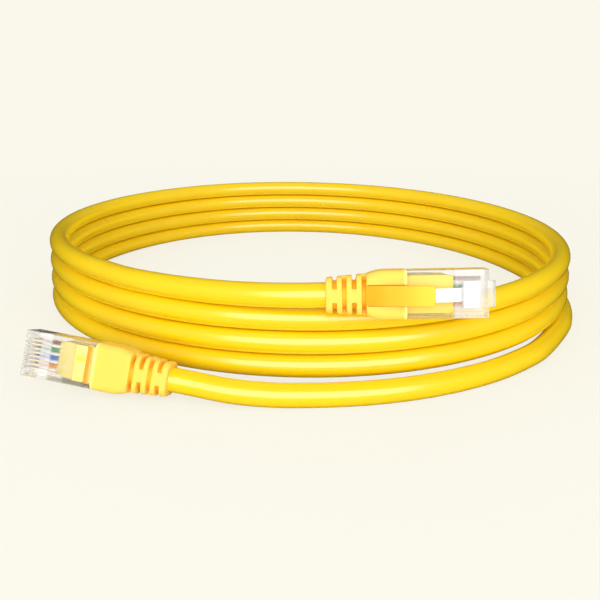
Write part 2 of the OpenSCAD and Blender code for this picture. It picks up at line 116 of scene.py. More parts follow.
class Graph:
    """Builds the nodes of one material, world or geometry tree."""

    def __init__(self, tree: NodeTree) -> None:
        """Empties the tree and keeps it."""
        self.tree = tree
        tree.nodes.clear()

    @classmethod
    def of(cls, owner: Any) -> "Graph":
        """The empty graph of a material or world."""
        owner.use_nodes = True
        return cls(owner.node_tree)

    def node(self, kind: str, settings: Settings = None, values: Values = None) -> Node:
        """Adds one node.

        Args:
            kind: the node's type.
            settings: its own properties, set before its sockets. "stops" are a ramp's positions and colours,
                and "captures" the kinds and names of captured attributes.
            values: numbers, colours, signals or sockets by the input's number, identifier or name.

        Returns:
            The node.
        """
        made = self.tree.nodes.new(kind)
        for name, value in (settings or {}).items():
            if name == "stops":
                self._stops(made.color_ramp, value)
            elif name == "captures":
                for item_kind, item_name in value:
                    made.capture_items.new(item_kind, item_name)
            else:
                setattr(made, name, value)
        for key, value in (values or {}).items():
            self.put(self._find(made.inputs, key), value)
        return made

    def get(self, kind: str, settings: Settings = None, values: Values = None, key: int | str = 0) -> Signal:
        """Adds one node, as above, and returns the output of that number, identifier or name."""
        return self.out(self.node(kind, settings, values), key)

    @staticmethod
    def _find(sockets: Any, key: int | str) -> NodeSocket:
        """The socket with that number, identifier or name."""
        if isinstance(key, int):
            return sockets[key]
        return next((s for s in sockets if s.identifier == key), None) or sockets[key]

    def put(self, socket: NodeSocket, value: Any) -> None:
        """Links a signal or socket to an input, or sets the input's own value."""
        if isinstance(value, Signal):
            self.tree.links.new(value.socket, socket)
        elif isinstance(value, NodeSocket):
            self.tree.links.new(value, socket)
        elif isinstance(value, tuple) and len(value) == 3 and socket.type == "RGBA":
            socket.default_value = (*value, 1.0)
        else:
            socket.default_value = value

    def out(self, node: Node, key: int | str = 0) -> Signal:
        """An output of a node as a signal, by number, identifier or name."""
        return Signal(self, self._find(node.outputs, key))

    def mix(self, share: Any, first: Any, second: Any) -> Signal:
        """A colour between two, by share."""
        values = {"Factor_Float": share, "A_Color": first, "B_Color": second}
        return self.get("ShaderNodeMix", {"data_type": "RGBA"}, values, "Result_Color")

    def either(self, share: Any, first: Any, second: Any) -> Signal:
        """A shader between two, by share."""
        return self.get("ShaderNodeMixShader", None, {0: share, 1: first, 2: second})

    def noise(self, scale: float, detail: float = 3.0, place: Signal | None = None) -> Signal:
        """Noise from 0 to 1 at a place, or else in the object's own coordinates, in metres."""
        spot = place or self.get("ShaderNodeTexCoord", key="Object")
        return self.get("ShaderNodeTexNoise", None, {"Vector": spot, "Scale": scale, "Detail": detail})

    def ramp(self, value: Any, stops: Stops, smooth: bool = True) -> Signal:
        """A value sent through a ramp of grey levels or colours."""
        return self.get("ShaderNodeValToRGB", {"stops": (stops, smooth)}, {0: value})

    def own(self, name: str) -> Signal:
        """A number that the piece stores at each of its points."""
        return self.get("ShaderNodeAttribute", {"attribute_name": name}, None, "Fac")

    @staticmethod
    def _stops(ramp: ColorRamp, value: tuple[Stops, bool]) -> None:
        """Sets a ramp's stops, each a position and a grey level or a colour."""
        stops, smooth = value
        ramp.interpolation = "EASE" if smooth else "LINEAR"
        while len(ramp.elements) < len(stops):
            ramp.elements.new(0.5)
        for element, (place, colour) in zip(ramp.elements, stops):
            element.position = place
            element.color = (colour, colour, colour, 1.0) if isinstance(colour, float) else (*colour, 1.0)


# ---------------------------------------------------------------- finishes

Dress = tuple[dict[str, Any], Signal]


@dataclass(frozen=True)
class Finish:
    """What the finishes share: a principled surface with fine relief. Clouds and grain are noise scales."""

    base: Colour
    roughness: float = 0.4
    relief: float = 0.1
    relief_depth: float = 0.00002
    clouds: float = 210.0
    grain: float = 3800.0

    def build(self, name: str) -> Material:
        """Makes the material.

        Args:
            name: its name.

        Returns:
            The material.
        """
        material = bpy.data.materials.new(name)
        graph = Graph.of(material)
        values, height = self.dress(graph)
        bump = {"Strength": self.relief, "Distance": self.relief_depth, "Height": height}
        values["Normal"] = graph.get("ShaderNodeBump", None, bump)
        surface = graph.get("ShaderNodeBsdfPrincipled", None, values)
        graph.node("ShaderNodeOutputMaterial", None, {"Surface": self.cover(graph, surface)})
        material.diffuse_color = (*self.base, 1.0)
        return material

    def dress(self, graph: Graph) -> Dress:
        """What the surface's sockets get, and the height of its relief; each finish has its own."""
        raise NotImplementedError

    def cover(self, graph: Graph, surface: Signal) -> Signal:
        """What is shown: the surface alone, unless a finish lays something over it."""
        return surface


@dataclass(frozen=True)
class JacketFinish(Finish):
    """Extruded yellow jacket: smooth and half glossy, with faint lengthwise streaks and mottling."""

    base: Colour = (0.98, 0.67, 0.001)
    deep: Colour = (0.95, 0.6, 0.001)
    roughness: float = 0.26
    relief: float = 0.12
    clouds: float = 55.0
    grain: float = 5200.0
    map_name: str = "along_jacket"
    stretch: Triple = (9.0, 26.0, 1.0)

    def dress(self, graph: Graph) -> Dress:
        """Streaks follow the cable by its own map; clouds and grain lie in space."""
        along = graph.get("ShaderNodeUVMap", {"uv_map": self.map_name})
        stretched = graph.get("ShaderNodeMapping", None, {"Vector": along, "Scale": self.stretch})
        streaks = graph.noise(1.0, 2.0, stretched)
        clouds, grain = graph.noise(self.clouds), graph.noise(self.grain, 2.0)
        share = graph.ramp(streaks * 0.5 + clouds * 0.5, ((0.36, 0.0), (0.66, 1.0)))
        values = {
            "Base Color": graph.mix(share * 0.5, self.base, self.deep),
            "Roughness": clouds * 0.08 + (self.roughness - 0.04),
            "IOR": 1.8,
            "Coat Weight": 0.8,
            "Coat Roughness": 0.2,
            "Coat IOR": 1.6,
        }
        return values, streaks * 0.6 + grain * 0.4


@dataclass(frozen=True)
class BootFinish(Finish):
    """Moulded soft plastic: paler than the jacket, satin, with painted shade in its cuts and a painted
    highlight along its front rim.
    """

    base: Colour = (0.96, 0.64, 0.1)
    # deep: painted shade in the cuts, and also the colour of a faint random mottling elsewhere
    deep: Colour = (0.94, 0.46, 0.003)
    # light: a painted highlight along the front rim
    light: Colour = (1.0, 0.93, 0.28)
    roughness: float = 0.42
    relief: float = 0.25
    relief_depth: float = 0.00003

    def dress(self, graph: Graph) -> Dress:
        """Painted shade in the cuts and a painted highlight along the rim follow attributes of the boot, and
        the grain is that of a mould.
        """
        clouds, grain = graph.noise(self.clouds), graph.noise(self.grain, 2.0)
        # Painted shade where the hollow attribute marks the cuts, plus a faint random mottling
        shaded_in_cuts = graph.mix(graph.own("hollow") * 0.85 + clouds * 0.12, self.base, self.deep)
        values = {
            # A painted highlight where the rim attribute marks the front rim
            "Base Color": graph.mix(graph.own("rim"), shaded_in_cuts, self.light),
            "Roughness": grain * 0.08 + clouds * 0.06 + (self.roughness - 0.07),
            "IOR": 1.3,
        }
        return values, grain


@dataclass(frozen=True)
class FlapFinish(Finish):
    """The boot's plastic on its flap, with painted shade: deep orange yellow at the root, paler towards the
    tip.
    """

    base: Colour = (0.96, 0.61, 0.045)
    # root: painted shade at the flap's root
    root: Colour = (0.95, 0.38, 0.002)
    relief: float = 0.2
    relief_depth: float = 0.00003
    clouds: float = 260.0

    def dress(self, graph: Graph) -> Dress:
        """The painted shade follows the flap from root to tip by its own attribute."""
        clouds, grain = graph.noise(self.clouds), graph.noise(self.grain, 2.0)
        along = graph.own("from_root") + clouds * 0.1 - 0.05
        share = graph.ramp(along, ((0.08, 0.0), (0.42, 0.35), (0.96, 1.0)))
        values = {
            # Painted shade, deepest at the root and fading towards the tip
            "Base Color": graph.mix(share, self.root, self.base),
            "Roughness": grain * 0.08 + clouds * 0.05 + (self.roughness - 0.06),
            "IOR": 1.3,
        }
        return values, grain


@dataclass(frozen=True)
class ClearFinish(Finish):
    """Clear moulded plastic with faint flow marks, milky over the wires on both of its broad faces, with
    painted grey shade on its side faces and a painted yellow refraction of the core on them beside the core.

    Its stops are places along the plug, from 0 at the relief's rear end to 1 at the nose.
    """

    base: Colour = (0.97, 0.98, 0.99)
    # side: painted grey shade on the side faces, and also the tint of the flow marks
    side: Colour = (0.62, 0.58, 0.55)
    # A painted yellow refraction of the core, on the side faces beside it
    side_by_core: Colour = (0.88, 0.74, 0.36)
    milk: Colour = (0.9, 0.885, 0.89)
    # line: painted shade of the gaps between the wires, seen through the ribs
    line: Colour = (0.46, 0.41, 0.43)
    roughness: float = 0.05
    clouds: float = 420.0
    grain: float = 1500.0
    veil: float = 0.1
    edge: float = 0.75
    haze: float = 0.05
    frost: float = 0.52
    lane: float = PITCH
    face: Stops = ((0.5, 0.0), (0.56, 1.0))
    ribbed_at: Stops = ((0.797, 0.0), (0.825, 1.0), (0.875, 1.0), (0.89, 0.35), (0.985, 0.35))
    milky_at: Stops = ((0.782, 0.0), (0.8, 0.65), (0.96, 0.65), (0.985, 0.35))

    def dress(self, graph: Graph) -> Dress:
        """Face on it lets the view through, towards its edges less, and more light than view."""
        flow = graph.noise(self.clouds, 2.0)
        rim = graph.get("ShaderNodeLayerWeight", None, {"Blend": 0.35}, "Facing")
        # beside marks the side faces, which get painted shade: grey past the core, a painted yellow
        # refraction of the core beside it
        beside = graph.ramp(graph.own("across_plug").size() * 0.1, ((0.55, 0.0), (0.58, 1.0)))
        past_core = graph.ramp(graph.own("along_plug"), ((0.76, 0.0), (0.8, 1.0)))
        side = graph.mix(past_core, self.side_by_core, self.side)
        ray = graph.node("ShaderNodeLightPath")
        lights = graph.out(ray, "Is Shadow Ray").larger(graph.out(ray, "Is Diffuse Ray"))
        values = {
            # Flow marks tint the colour a little towards side; on the side faces the side colour is painted
            # shade
            "Base Color": graph.mix((flow * 0.2).larger(beside), self.base, side),
            "Roughness": flow * 0.05 + (self.roughness - 0.02),
            "IOR": 1.5,
            "Transmission Weight": 1.0,
            "Alpha": (rim * self.edge + beside * 0.35 + self.veil) * (1.0 - lights * 0.85),
        }
        return values, flow

    def cover(self, graph: Graph, surface: Signal) -> Signal:
        """Lays a thin milky skin over it, thick by the wires, with a painted zigzag line of shade between
        each two of them, where the gaps between the wires show through the ribs.
        """
        along, across, up = (graph.own(name) for name in ("along_plug", "across_plug", "up_plug"))
        below, above = graph.ramp(up * -0.25, self.face), graph.ramp(up * 0.25, self.face)
        thick = graph.ramp(along, self.ribbed_at) * below + graph.ramp(along, self.milky_at) * above
        zigzag = (across + (along * 40.0).fold(0.3) * 0.6).fold(self.lane / 2)
        # Painted shade: a zigzag grey line over each gap between two wires
        line = graph.ramp(zigzag * (2 / self.lane), ((0.06, 1.0), (0.26, 0.0)))
        share = (thick * (self.frost - self.haze) + self.haze) * (graph.noise(self.grain, 2.0) * 0.6 + 0.7)
        values = {"Base Color": graph.mix(line * thick, self.milk, self.line), "Roughness": 0.4, "IOR": 1.3}
        return graph.either(share, surface, graph.get("ShaderNodeBsdfPrincipled", None, values))


@dataclass(frozen=True)
class MilkyFinish(Finish):
    """The latch's clear plastic, which its shape makes look milky from the shoulders on.

    Its stops are places along the latch, from 0 at the root to 1 at the free end.
    """

    base: Colour = (0.88, 0.89, 0.9)
    pale: Colour = (0.9, 0.92, 0.94)
    roughness: float = 0.22
    clouds: float = 380.0
    veil: float = 0.85
    root_milk: Stops = ((0.0, 0.5), (0.06, 0.5), (0.09, 0.1), (0.26, 0.16), (0.3, 0.6))
    back_milk: Stops = ((0.36, 1.0), (0.5, 1.0), (0.54, 0.4), (0.6, 0.9), (0.64, 1.0))

    def dress(self, graph: Graph) -> Dress:
        """The veil thickens and thins along the latch and with the flow of the moulding."""
        flow = graph.noise(self.clouds, 2.0)
        rim = graph.get("ShaderNodeLayerWeight", None, {"Blend": 0.4}, "Facing")
        milk = graph.ramp(graph.own("from_root"), (*self.root_milk, *self.back_milk))
        values = {
            "Base Color": graph.mix(flow * 0.3, self.base, self.pale),
            "Roughness": flow * 0.08 + (self.roughness - 0.04),
            "IOR": 1.5,
            "Alpha": (flow * 0.16 + rim * 0.15 + (self.veil - 0.08)) * milk,
        }
        return values, flow


@dataclass(frozen=True)
class CoreFinish(Finish):
    """Pale yellow plastic moulded in behind the wires, a little waxy, with a creased pad in the window."""

    base: Colour = (0.98, 0.84, 0.24)
    deep: Colour = (0.96, 0.78, 0.15)
    latch_side: Colour = (0.98, 0.70, 0.055)
    # groove: painted shade in the groove between pad and boot
    groove: Colour = (0.95, 0.46, 0.02)
    # fold: painted shade on one side of the pad's crease
    fold: Colour = (0.97, 0.74, 0.02)
    line: Colour = (0.32, 0.19, 0.04)
    roughness: float = 0.38
    relief: float = 0.2
    relief_depth: float = 0.00003
    clouds: float = 320.0
    grain: float = 4200.0
    groove_at: Stops = ((0.528, 0.0), (0.534, 1.0), (0.564, 1.0), (0.567, 0.0))
    pad_at: Stops = ((0.567, 0.0), (0.571, 1.0), (0.634, 1.0), (0.638, 0.0))
    crease_at: Stops = ((0.56, 0.0), (0.573, 1.0), (0.78, 0.0))
    line_at: Stops = ((0.448, 0.0), (0.458, 1.0), (0.482, 1.0), (0.49, 0.0))

    def dress(self, graph: Graph) -> Dress:
        """The contact face has painted shade in its groove and on one side of the pad's fold, the latch face
        dark lines along both sides.
        """
        flow, grain = graph.noise(self.clouds, 4.0), graph.noise(self.grain, 2.0)
        along, across, up = (graph.own(name) for name in ("along_plug", "across_plug", "up_plug"))
        below = graph.ramp(up * -0.25, ((0.5, 0.0), (0.51, 1.0)), False)
        groove, pad = graph.ramp(along, self.groove_at) * below, graph.ramp(along, self.pad_at) * below
        # crease: the band on one side of the pad's fold, which gets painted shade and a dent in the relief
        crease = graph.ramp(across * 0.1 + 0.5, self.crease_at) * pad
        plain = graph.mix(graph.ramp(flow, ((0.35, 0.0), (0.7, 1.0))) * 0.6, self.base, self.deep)
        plain = graph.mix(graph.ramp(up * 0.2 + 0.5, ((0.4, 0.0), (0.7, 1.0))), plain, self.latch_side)
        plain = graph.mix(graph.ramp(across.size() * 0.1, self.line_at) * 0.9, plain, self.line)
        values = {
            # Painted shade in the groove and beside the crease
            "Base Color": graph.mix(groove, graph.mix(crease, plain, self.fold), self.groove),
            "Roughness": flow * 0.1 + (self.roughness - 0.05),
            "IOR": 1.4,
        }
        return values, grain * 0.5 + flow * 0.5 - crease * 3.0


@dataclass(frozen=True)
class MetalFinish(Finish):
    """Bright metal with fine rolling marks: gilt blades, or copper strands."""

    base: Colour = (1.0, 0.93, 0.70)
    worn: Colour = (0.96, 0.80, 0.48)
    roughness: float = 0.24
    metallic: float = 0.3
    relief: float = 0.2
    relief_depth: float = 0.00001
    clouds: float = 900.0
    grain: float = 9000.0

    def dress(self, graph: Graph) -> Dress:
        """Patches of wear change its colour and gloss together."""
        wear = graph.noise(self.clouds, 4.0)
        values = {
            "Base Color": graph.mix(graph.ramp(wear, ((0.4, 0.0), (0.7, 1.0))), self.base, self.worn),
            "Metallic": self.metallic,
            "Roughness": wear * 0.16 + (self.roughness - 0.06),
        }
        return values, graph.noise(self.grain, 1.0)


@dataclass(frozen=True)
class WireFinish(Finish):
    """A wire's insulation: one colour, or white with a stripe of the pair's colour."""

    base: Colour = (0.86, 0.85, 0.82)
    white: Colour = (0.86, 0.85, 0.82)
    striped: bool = False
    roughness: float = 0.36
    grain: float = 2500.0

    def dress(self, graph: Graph) -> Dress:
        """The stripe winds slowly round the wire by the wire's own attributes."""
        grain = graph.noise(self.grain, 2.0)
        colour = graph.mix(grain * 0.3, self.base, tuple(0.75 * c for c in self.base))
        if self.striped:
            turn = graph.get("ShaderNodeAttribute", {"attribute_name": "round_wire"}, None, "Vector")
            band = graph.get("ShaderNodeSeparateXYZ", None, {"Vector": turn}, "X").above(0.45)
            colour = graph.mix(band, self.white, colour)
        return {"Base Color": colour, "Roughness": grain * 0.1 + (self.roughness - 0.05), "IOR": 1.5}, grain


class WireColour(Enum):
    """The eight wires in the order of their contacts: node name, colour, striped or not."""

    WHITE_ORANGE = ("wire_1_white_orange", (0.85, 0.30, 0.03), True)
    ORANGE = ("wire_2_orange", (0.85, 0.30, 0.03), False)
    WHITE_GREEN = ("wire_3_white_green", (0.03, 0.36, 0.12), True)
    BLUE = ("wire_4_blue", (0.04, 0.16, 0.62), False)
    WHITE_BLUE = ("wire_5_white_blue", (0.04, 0.16, 0.62), True)
    GREEN = ("wire_6_green", (0.03, 0.36, 0.12), False)
    WHITE_BROWN = ("wire_7_white_brown", (0.24, 0.09, 0.03), True)
    BROWN = ("wire_8_brown", (0.24, 0.09, 0.03), False)

    @property
    def node(self) -> str:
        """The end of the CAD node's name."""
        return self.value[0]

    @property
    def slot(self) -> str:
        """The record's material slot."""
        return "wire_" + self.value[0].split("_", 2)[2]

    def finish(self) -> WireFinish:
        """This wire's finish."""
        return WireFinish(base=self.value[1], striped=self.value[2])


def built(finish: Finish, name: str) -> Any:
    """A field of a palette whose material is built together with the palette."""
    return field(default_factory=lambda: finish.build(name))


@dataclass
class Palette:
    """The materials of the cable and its plugs, each made once."""

    jacket: Material = built(JacketFinish(), "yellow_jacket")
    boot: Material = built(BootFinish(), "moulded_boot")
    flap: Material = built(FlapFinish(), "boot_flap")
    clear: Material = built(ClearFinish(), "clear_housing")
    clear_latch: Material = built(MilkyFinish(), "clear_latch")
    core: Material = built(CoreFinish(), "moulded_core")
    gold: Material = built(MetalFinish(), "gilt_contact")
    copper: Material = built(
        MetalFinish((0.78, 0.36, 0.20), worn=(0.62, 0.27, 0.14), metallic=0.9), "bare_copper"
    )
    wires: dict[WireColour, Material] = field(
        default_factory=lambda: {w: w.finish().build(w.slot) for w in WireColour}
    )


# ---------------------------------------------------------------- shapes


def ease(value: np.ndarray | float) -> np.ndarray | float:
    """A smooth step from 0 at 0 to 1 at 1."""
    held = np.clip(value, 0.0, 1.0)
    return held * held * (3.0 - 2.0 * held)


def edge(value: np.ndarray | float, place: float, width: float) -> np.ndarray | float:
    """A smooth step of a width, half way up at a place."""
    return ease((value - place) / width + 0.5)


def drawn_in(left: float, radius: float) -> float:
    """How far a round edge draws an outline in, at a distance from its end."""
    if left >= radius:
        return 0.0
    return radius - math.sqrt(max(0.0, radius**2 - (radius - left) ** 2))


def quarter(radius: float, count: int) -> list[tuple[float, float]]:
    """Points of a quarter circle about 0, from (radius, 0) to (0, radius)."""
    return [(radius * math.cos(a), radius * math.sin(a)) for a in np.linspace(0, math.pi / 2, count)]


def unit(vectors: np.ndarray) -> np.ndarray:
    """Vectors brought to length 1."""
    return vectors / np.linalg.norm(vectors, axis=1)[:, None]


def strides(line: np.ndarray) -> np.ndarray:
    """The distances between the neighbouring points of a line."""
    return np.linalg.norm(np.diff(line, axis=0), axis=1)


def summed(steps: np.ndarray) -> np.ndarray:
    """The running sums of steps, from 0 on."""
    return np.concatenate([[0.0], np.cumsum(steps)])


def rounded_rectangle(
    half_w: np.ndarray | float, half_h: np.ndarray | float, radius: float, angles: np.ndarray
) -> np.ndarray:
    """Points of a rounded rectangle's outline in given directions from its middle.

    Args:
        half_w: half its width.
        half_h: half its height.
        radius: its corners' radius.
        angles: the directions, in radians.

    Returns:
        An array of (across, up) pairs.
    """
    c, s = np.maximum(np.abs(np.cos(angles)), TINY), np.maximum(np.abs(np.sin(angles)), TINY)
    centre = np.array([half_w - radius, half_h - radius])
    side, top = half_w / c, half_h / s
    along = c * centre[0] + s * centre[1]
    corner = along + np.sqrt(np.maximum(along**2 - centre @ centre + radius**2, 0.0))
    reach = np.where(side * s <= centre[1], side, np.where(top * c <= centre[0], top, corner))
    return np.stack([reach * np.cos(angles), reach * np.sin(angles)], axis=1)


def smooth_line(points: Sequence[Sequence[float]], step: float) -> np.ndarray:
    """A smooth curve through points, as points about a step apart.

    Args:
        points: what it goes through.
        step: the distance between the points that are returned.

    Returns:
        The curve's points, the first and last of them those given.
    """
    p = np.array(points, float)
    p = np.vstack([2 * p[0] - p[1], p, 2 * p[-1] - p[-2]])
    knots = summed(np.sqrt(strides(p)))
    made = [p[1]]
    for i in range(1, len(p) - 2):
        near = knots[i - 1 : i + 3]
        spans = ((near[:3], near[1:]), (near[:2], near[2:]), (near[1:2], near[2:3]))
        count = max(1, round(float(np.linalg.norm(p[i + 1] - p[i])) / step))
        for j in range(1, count + 1):
            t = knots[i] + (knots[i + 1] - knots[i]) * j / count
            level = p[i - 1 : i + 3]
            for low, high in spans:
                blend = (high - t)[:, None] * level[:-1] + (t - low)[:, None] * level[1:]
                level = blend / (high - low)[:, None]
            made.append(level[0])
    return np.array(made)


@dataclass
class Skin:
    """Rings of points that become one closed mesh."""

    rings: list[np.ndarray]
    looped: bool = False

    def points(self) -> np.ndarray:
        """The points of all rings in order."""
        return np.vstack(self.rings)

    def faces(self) -> list[tuple[int, ...]]:
        """Quads between the rings, with a cap at each end unless the last ring joins the first."""
        n, count = len(self.rings[0]), len(self.rings)
        last = count if self.looped else count - 1
        made = [
            (i * n + k, i * n + (k + 1) % n, (i + 1) % count * n + (k + 1) % n, (i + 1) % count * n + k)
            for i in range(last)
            for k in range(n)
        ]
        if not self.looped:
            made.append(tuple(reversed(range(n))))
            made.append(tuple((count - 1) * n + k for k in range(n)))
        return made


def linked(name: str, data: Any) -> Object:
    """An object with its data, linked to the scene."""
    made = bpy.data.objects.new(name, data)
    bpy.context.scene.collection.objects.link(made)
    return made


def shade(mesh: Mesh, sharp: float = 40.0) -> None:
    """Shades a mesh smooth, apart from edges bent more than an angle in degrees."""
    mesh.polygons.foreach_set("use_smooth", [True] * len(mesh.polygons))
    mesh.set_sharp_from_angle(angle=math.radians(sharp))


def mesh_piece(
    name: str, skin: Skin, material: Material, place: Matrix | None = None, sharp: float = 40.0
) -> Object:
    """Makes a smooth-shaded object whose faces point outwards.

    Args:
        name: the object's name.
        skin: its rings.
        material: its material.
        place: turns and moves the points into the row frame.
        sharp: edges bent more than this, in degrees, stay sharp.

    Returns:
        The object, linked to the scene.
    """
    points = skin.points()
    if place is not None:
        turned = np.array(place, float)
        points = points @ turned[:3, :3].T + turned[:3, 3]
    mesh = bpy.data.meshes.new(name)
    mesh.from_pydata(points.tolist(), [], skin.faces())
    mesh.update()
    mesh.calc_loop_triangles()
    corners = np.zeros(len(mesh.loop_triangles) * 3, np.int32)
    mesh.loop_triangles.foreach_get("vertices", corners)
    a, b, c = (points[corners.reshape(-1, 3)[:, k]] - points.mean(0) for k in range(3))
    if float((a * np.cross(b, c)).sum()) < 0:
        mesh.flip_normals()
    shade(mesh, sharp)
    mesh.materials.append(material)
    return linked(name, mesh)


def set_attribute(piece: Object, name: str, values: np.ndarray) -> None:
    """Stores one number for each of a piece's points."""
    attribute = piece.data.attributes.new(name, "FLOAT", "POINT")
    attribute.data.foreach_set("value", values.astype(np.float32))


def report(piece: Object) -> None:
    """Logs a finished piece with its number of triangles."""
    piece.data.calc_loop_triangles()
    LOG.info("%s: %d triangles", piece.name, len(piece.data.loop_triangles))


def plain_mesh(piece: Object) -> Object:
    """Turns what a piece's modifiers make into its plain mesh and removes them."""
    bpy.context.view_layer.update()
    evaluated = piece.evaluated_get(bpy.context.evaluated_depsgraph_get())
    mesh = bpy.data.meshes.new_from_object(evaluated)
    piece.modifiers.clear()
    piece.data = mesh
    mesh.name = piece.name
    return piece


class Recipe:
    """A geometry tree with named inputs that repeats a form or sweeps it along paths."""

    def __init__(self, name: str, inputs: dict[str, str]) -> None:
        """Makes the tree.

        Args:
            name: the tree's name.
            inputs: the kind of socket of each input between the geometry and the finish, by name.
        """
        self.group = bpy.data.node_groups.new(name, "GeometryNodeTree")
        self.graph = Graph(self.group)
        face = self.group.interface
        for label, kind in {"Geometry": "Geometry", **inputs, "Finish": "Material"}.items():
            face.new_socket(label, in_out="INPUT", socket_type="NodeSocket" + kind)
        face.new_socket("Geometry", in_out="OUTPUT", socket_type="NodeSocketGeometry")
        self.given = self.graph.node("NodeGroupInput").outputs

    def end(self, geometry: Signal) -> None:
        """Realizes the geometry, gives it the material and ends the tree."""
        real = self.graph.get("GeometryNodeRealizeInstances", None, {"Geometry": geometry})
        values = {"Geometry": real, "Material": self.given["Finish"]}
        dressed = self.graph.get("GeometryNodeSetMaterial", None, values)
        self.graph.node("NodeGroupOutput", None, {"Geometry": dressed})

    def apply(self, piece: Object, values: dict[str, Any]) -> Object:
        """Runs the tree on a piece and keeps the result as a plain mesh.

        Args:
            piece: the object that holds what is repeated, or the paths.
            values: the tree's inputs by name.

        Returns:
            The same object, with its new mesh.
        """
        modifier = piece.modifiers.new(self.group.name, "NODES")
        modifier.node_group = self.group
        named = {s.name: s.identifier for s in self.group.interface.items_tree if s.in_out == "INPUT"}
        for label, value in values.items():
            modifier[named[label]] = value
        return plain_mesh(piece)


def row_recipe() -> Recipe:
    """A tree that repeats its geometry in a straight row."""
    recipe = Recipe("row_of_blades", {"Count": "Int", "Step": "Vector"})
    graph, given = recipe.graph, recipe.given
    values = {"Count": given["Count"], "Offset": given["Step"]}
    line = graph.get("GeometryNodeMeshLine", {"mode": "OFFSET"}, values)
    values = {"Points": line, "Instance": given["Geometry"]}
    recipe.end(graph.get("GeometryNodeInstanceOnPoints", None, values))
    return recipe


def sweep_recipe(name: str, stranded: bool) -> Recipe:
    """A tree that sweeps a wire, or a bundle of seven twisted strands, along each path.

    Args:
        name: the tree's name.
        stranded: whether the section is seven strands instead of one round wire.

    Returns:
        The tree.
    """
    floats = dict.fromkeys(("Radius", "Bend", "Step", "Twist"), "Float")
    recipe = Recipe(name, {**floats, "Sides": "Int"})
    graph, given = recipe.graph, recipe.given
    curve = graph.get("GeometryNodeMeshToCurve", None, {"Mesh": given["Geometry"]})
    values = {"Curve": curve, "Count": 6, "Radius": given["Bend"], "Limit Radius": True}
    soft = graph.get("GeometryNodeFilletCurve", {"mode": "POLY"}, values)
    values = {"Curve": soft, "Length": given["Step"]}
    even = graph.get("GeometryNodeResampleCurve", {"mode": "LENGTH"}, values)
    lay = graph.get("GeometryNodeSplineParameter", key="Length") * given["Twist"]
    twisted = graph.get("GeometryNodeSetCurveTilt", None, {"Curve": even, "Tilt": lay})
    values = {"Resolution": given["Sides"], "Radius": given["Radius"]}
    section = graph.get("GeometryNodeCurvePrimitiveCircle", {"mode": "RADIUS"}, values)
    if stranded:
        double = Signal(graph, given["Radius"]) * 2.0
        seven = graph.node("GeometryNodeJoinGeometry")
        values = {"Vertices": 6, "Radius": double}
        graph.put(seven.inputs[0], graph.get("GeometryNodeMeshCircle", None, values))
        graph.put(seven.inputs[0], graph.get("GeometryNodeMeshLine", {"mode": "OFFSET"}, {"Count": 1}))
        values = {"Points": graph.out(seven), "Instance": section}
        strands = graph.get("GeometryNodeInstanceOnPoints", None, values)
        section = graph.get("GeometryNodeRealizeInstances", None, {"Geometry": strands})
    values = {"Geometry": section, "Round": graph.get("GeometryNodeInputPosition")}
    kept = graph.node("GeometryNodeCaptureAttribute", {"captures": (("VECTOR", "Round"),)}, values)
    values = {"Curve": twisted, "Profile Curve": graph.out(kept), "Fill Caps": True}
    tube = graph.get("GeometryNodeCurveToMesh", None, values)
    unit = graph.get("ShaderNodeVectorMath", {"operation": "NORMALIZE"}, {0: graph.out(kept, "Round")})
    kind = {"data_type": "FLOAT_VECTOR", "domain": "POINT"}
    values = {"Geometry": tube, "Name": "round_wire", "Value": unit}
    recipe.end(graph.get("GeometryNodeStoreNamedAttribute", kind, values))
    return recipe


def path_piece(name: str, paths: Sequence[np.ndarray]) -> Object:
    """An object whose edges are paths for a sweep.

    Args:
        name: the object's name.
        paths: the points of each path.

    Returns:
        The object, linked to the scene.
    """
    points, edges = [], []
    for path in paths:
        first = len(points)
        points += [tuple(p) for p in path]
        edges += [(first + i, first + i + 1) for i in range(len(path) - 1)]
    mesh = bpy.data.meshes.new(name)
    mesh.from_pydata(points, edges, [])
    return linked(name, mesh)


# ---------------------------------------------------------------- the cable


@dataclass(frozen=True)
class PlugPlace:
    """Where a plug is: its strain relief's rear end in millimetres, its heading, rise and roll in degrees."""

    rear: Triple
    heading: float
    rise: float
    roll: float

    def matrix(self) -> Matrix:
        """From the plug's own frame in millimetres to the row frame in metres."""
        turned = (
            Matrix.Rotation(math.radians(self.heading), 4, "Z")
            @ Matrix.Rotation(math.radians(-self.rise), 4, "Y")
            @ Matrix.Rotation(math.radians(90 + self.roll), 4, "X")
        )
        return Matrix.Translation(Vector(self.rear) * MM) @ turned @ Matrix.Scale(MM, 4)

    def ahead(self) -> np.ndarray:
        """The direction from the relief's rear end to the plug's nose."""
        h, e = math.radians(self.heading), math.radians(self.rise)
        return np.array([math.cos(h) * math.cos(e), math.sin(h) * math.cos(e), math.sin(e)])

    def at(self, x: float, y: float, z: float) -> Vector:
        """A point of the plug's own frame, in the row frame in metres."""
        return self.matrix() @ Vector((x, y, z))


PLACE_A = PlugPlace((-33.8, -88.4, 5.3), 169.0, 5.9, 20.0)
PLACE_B = PlugPlace((4.515, -85.749, 27.296), -2.5, 2.5, -13.0)


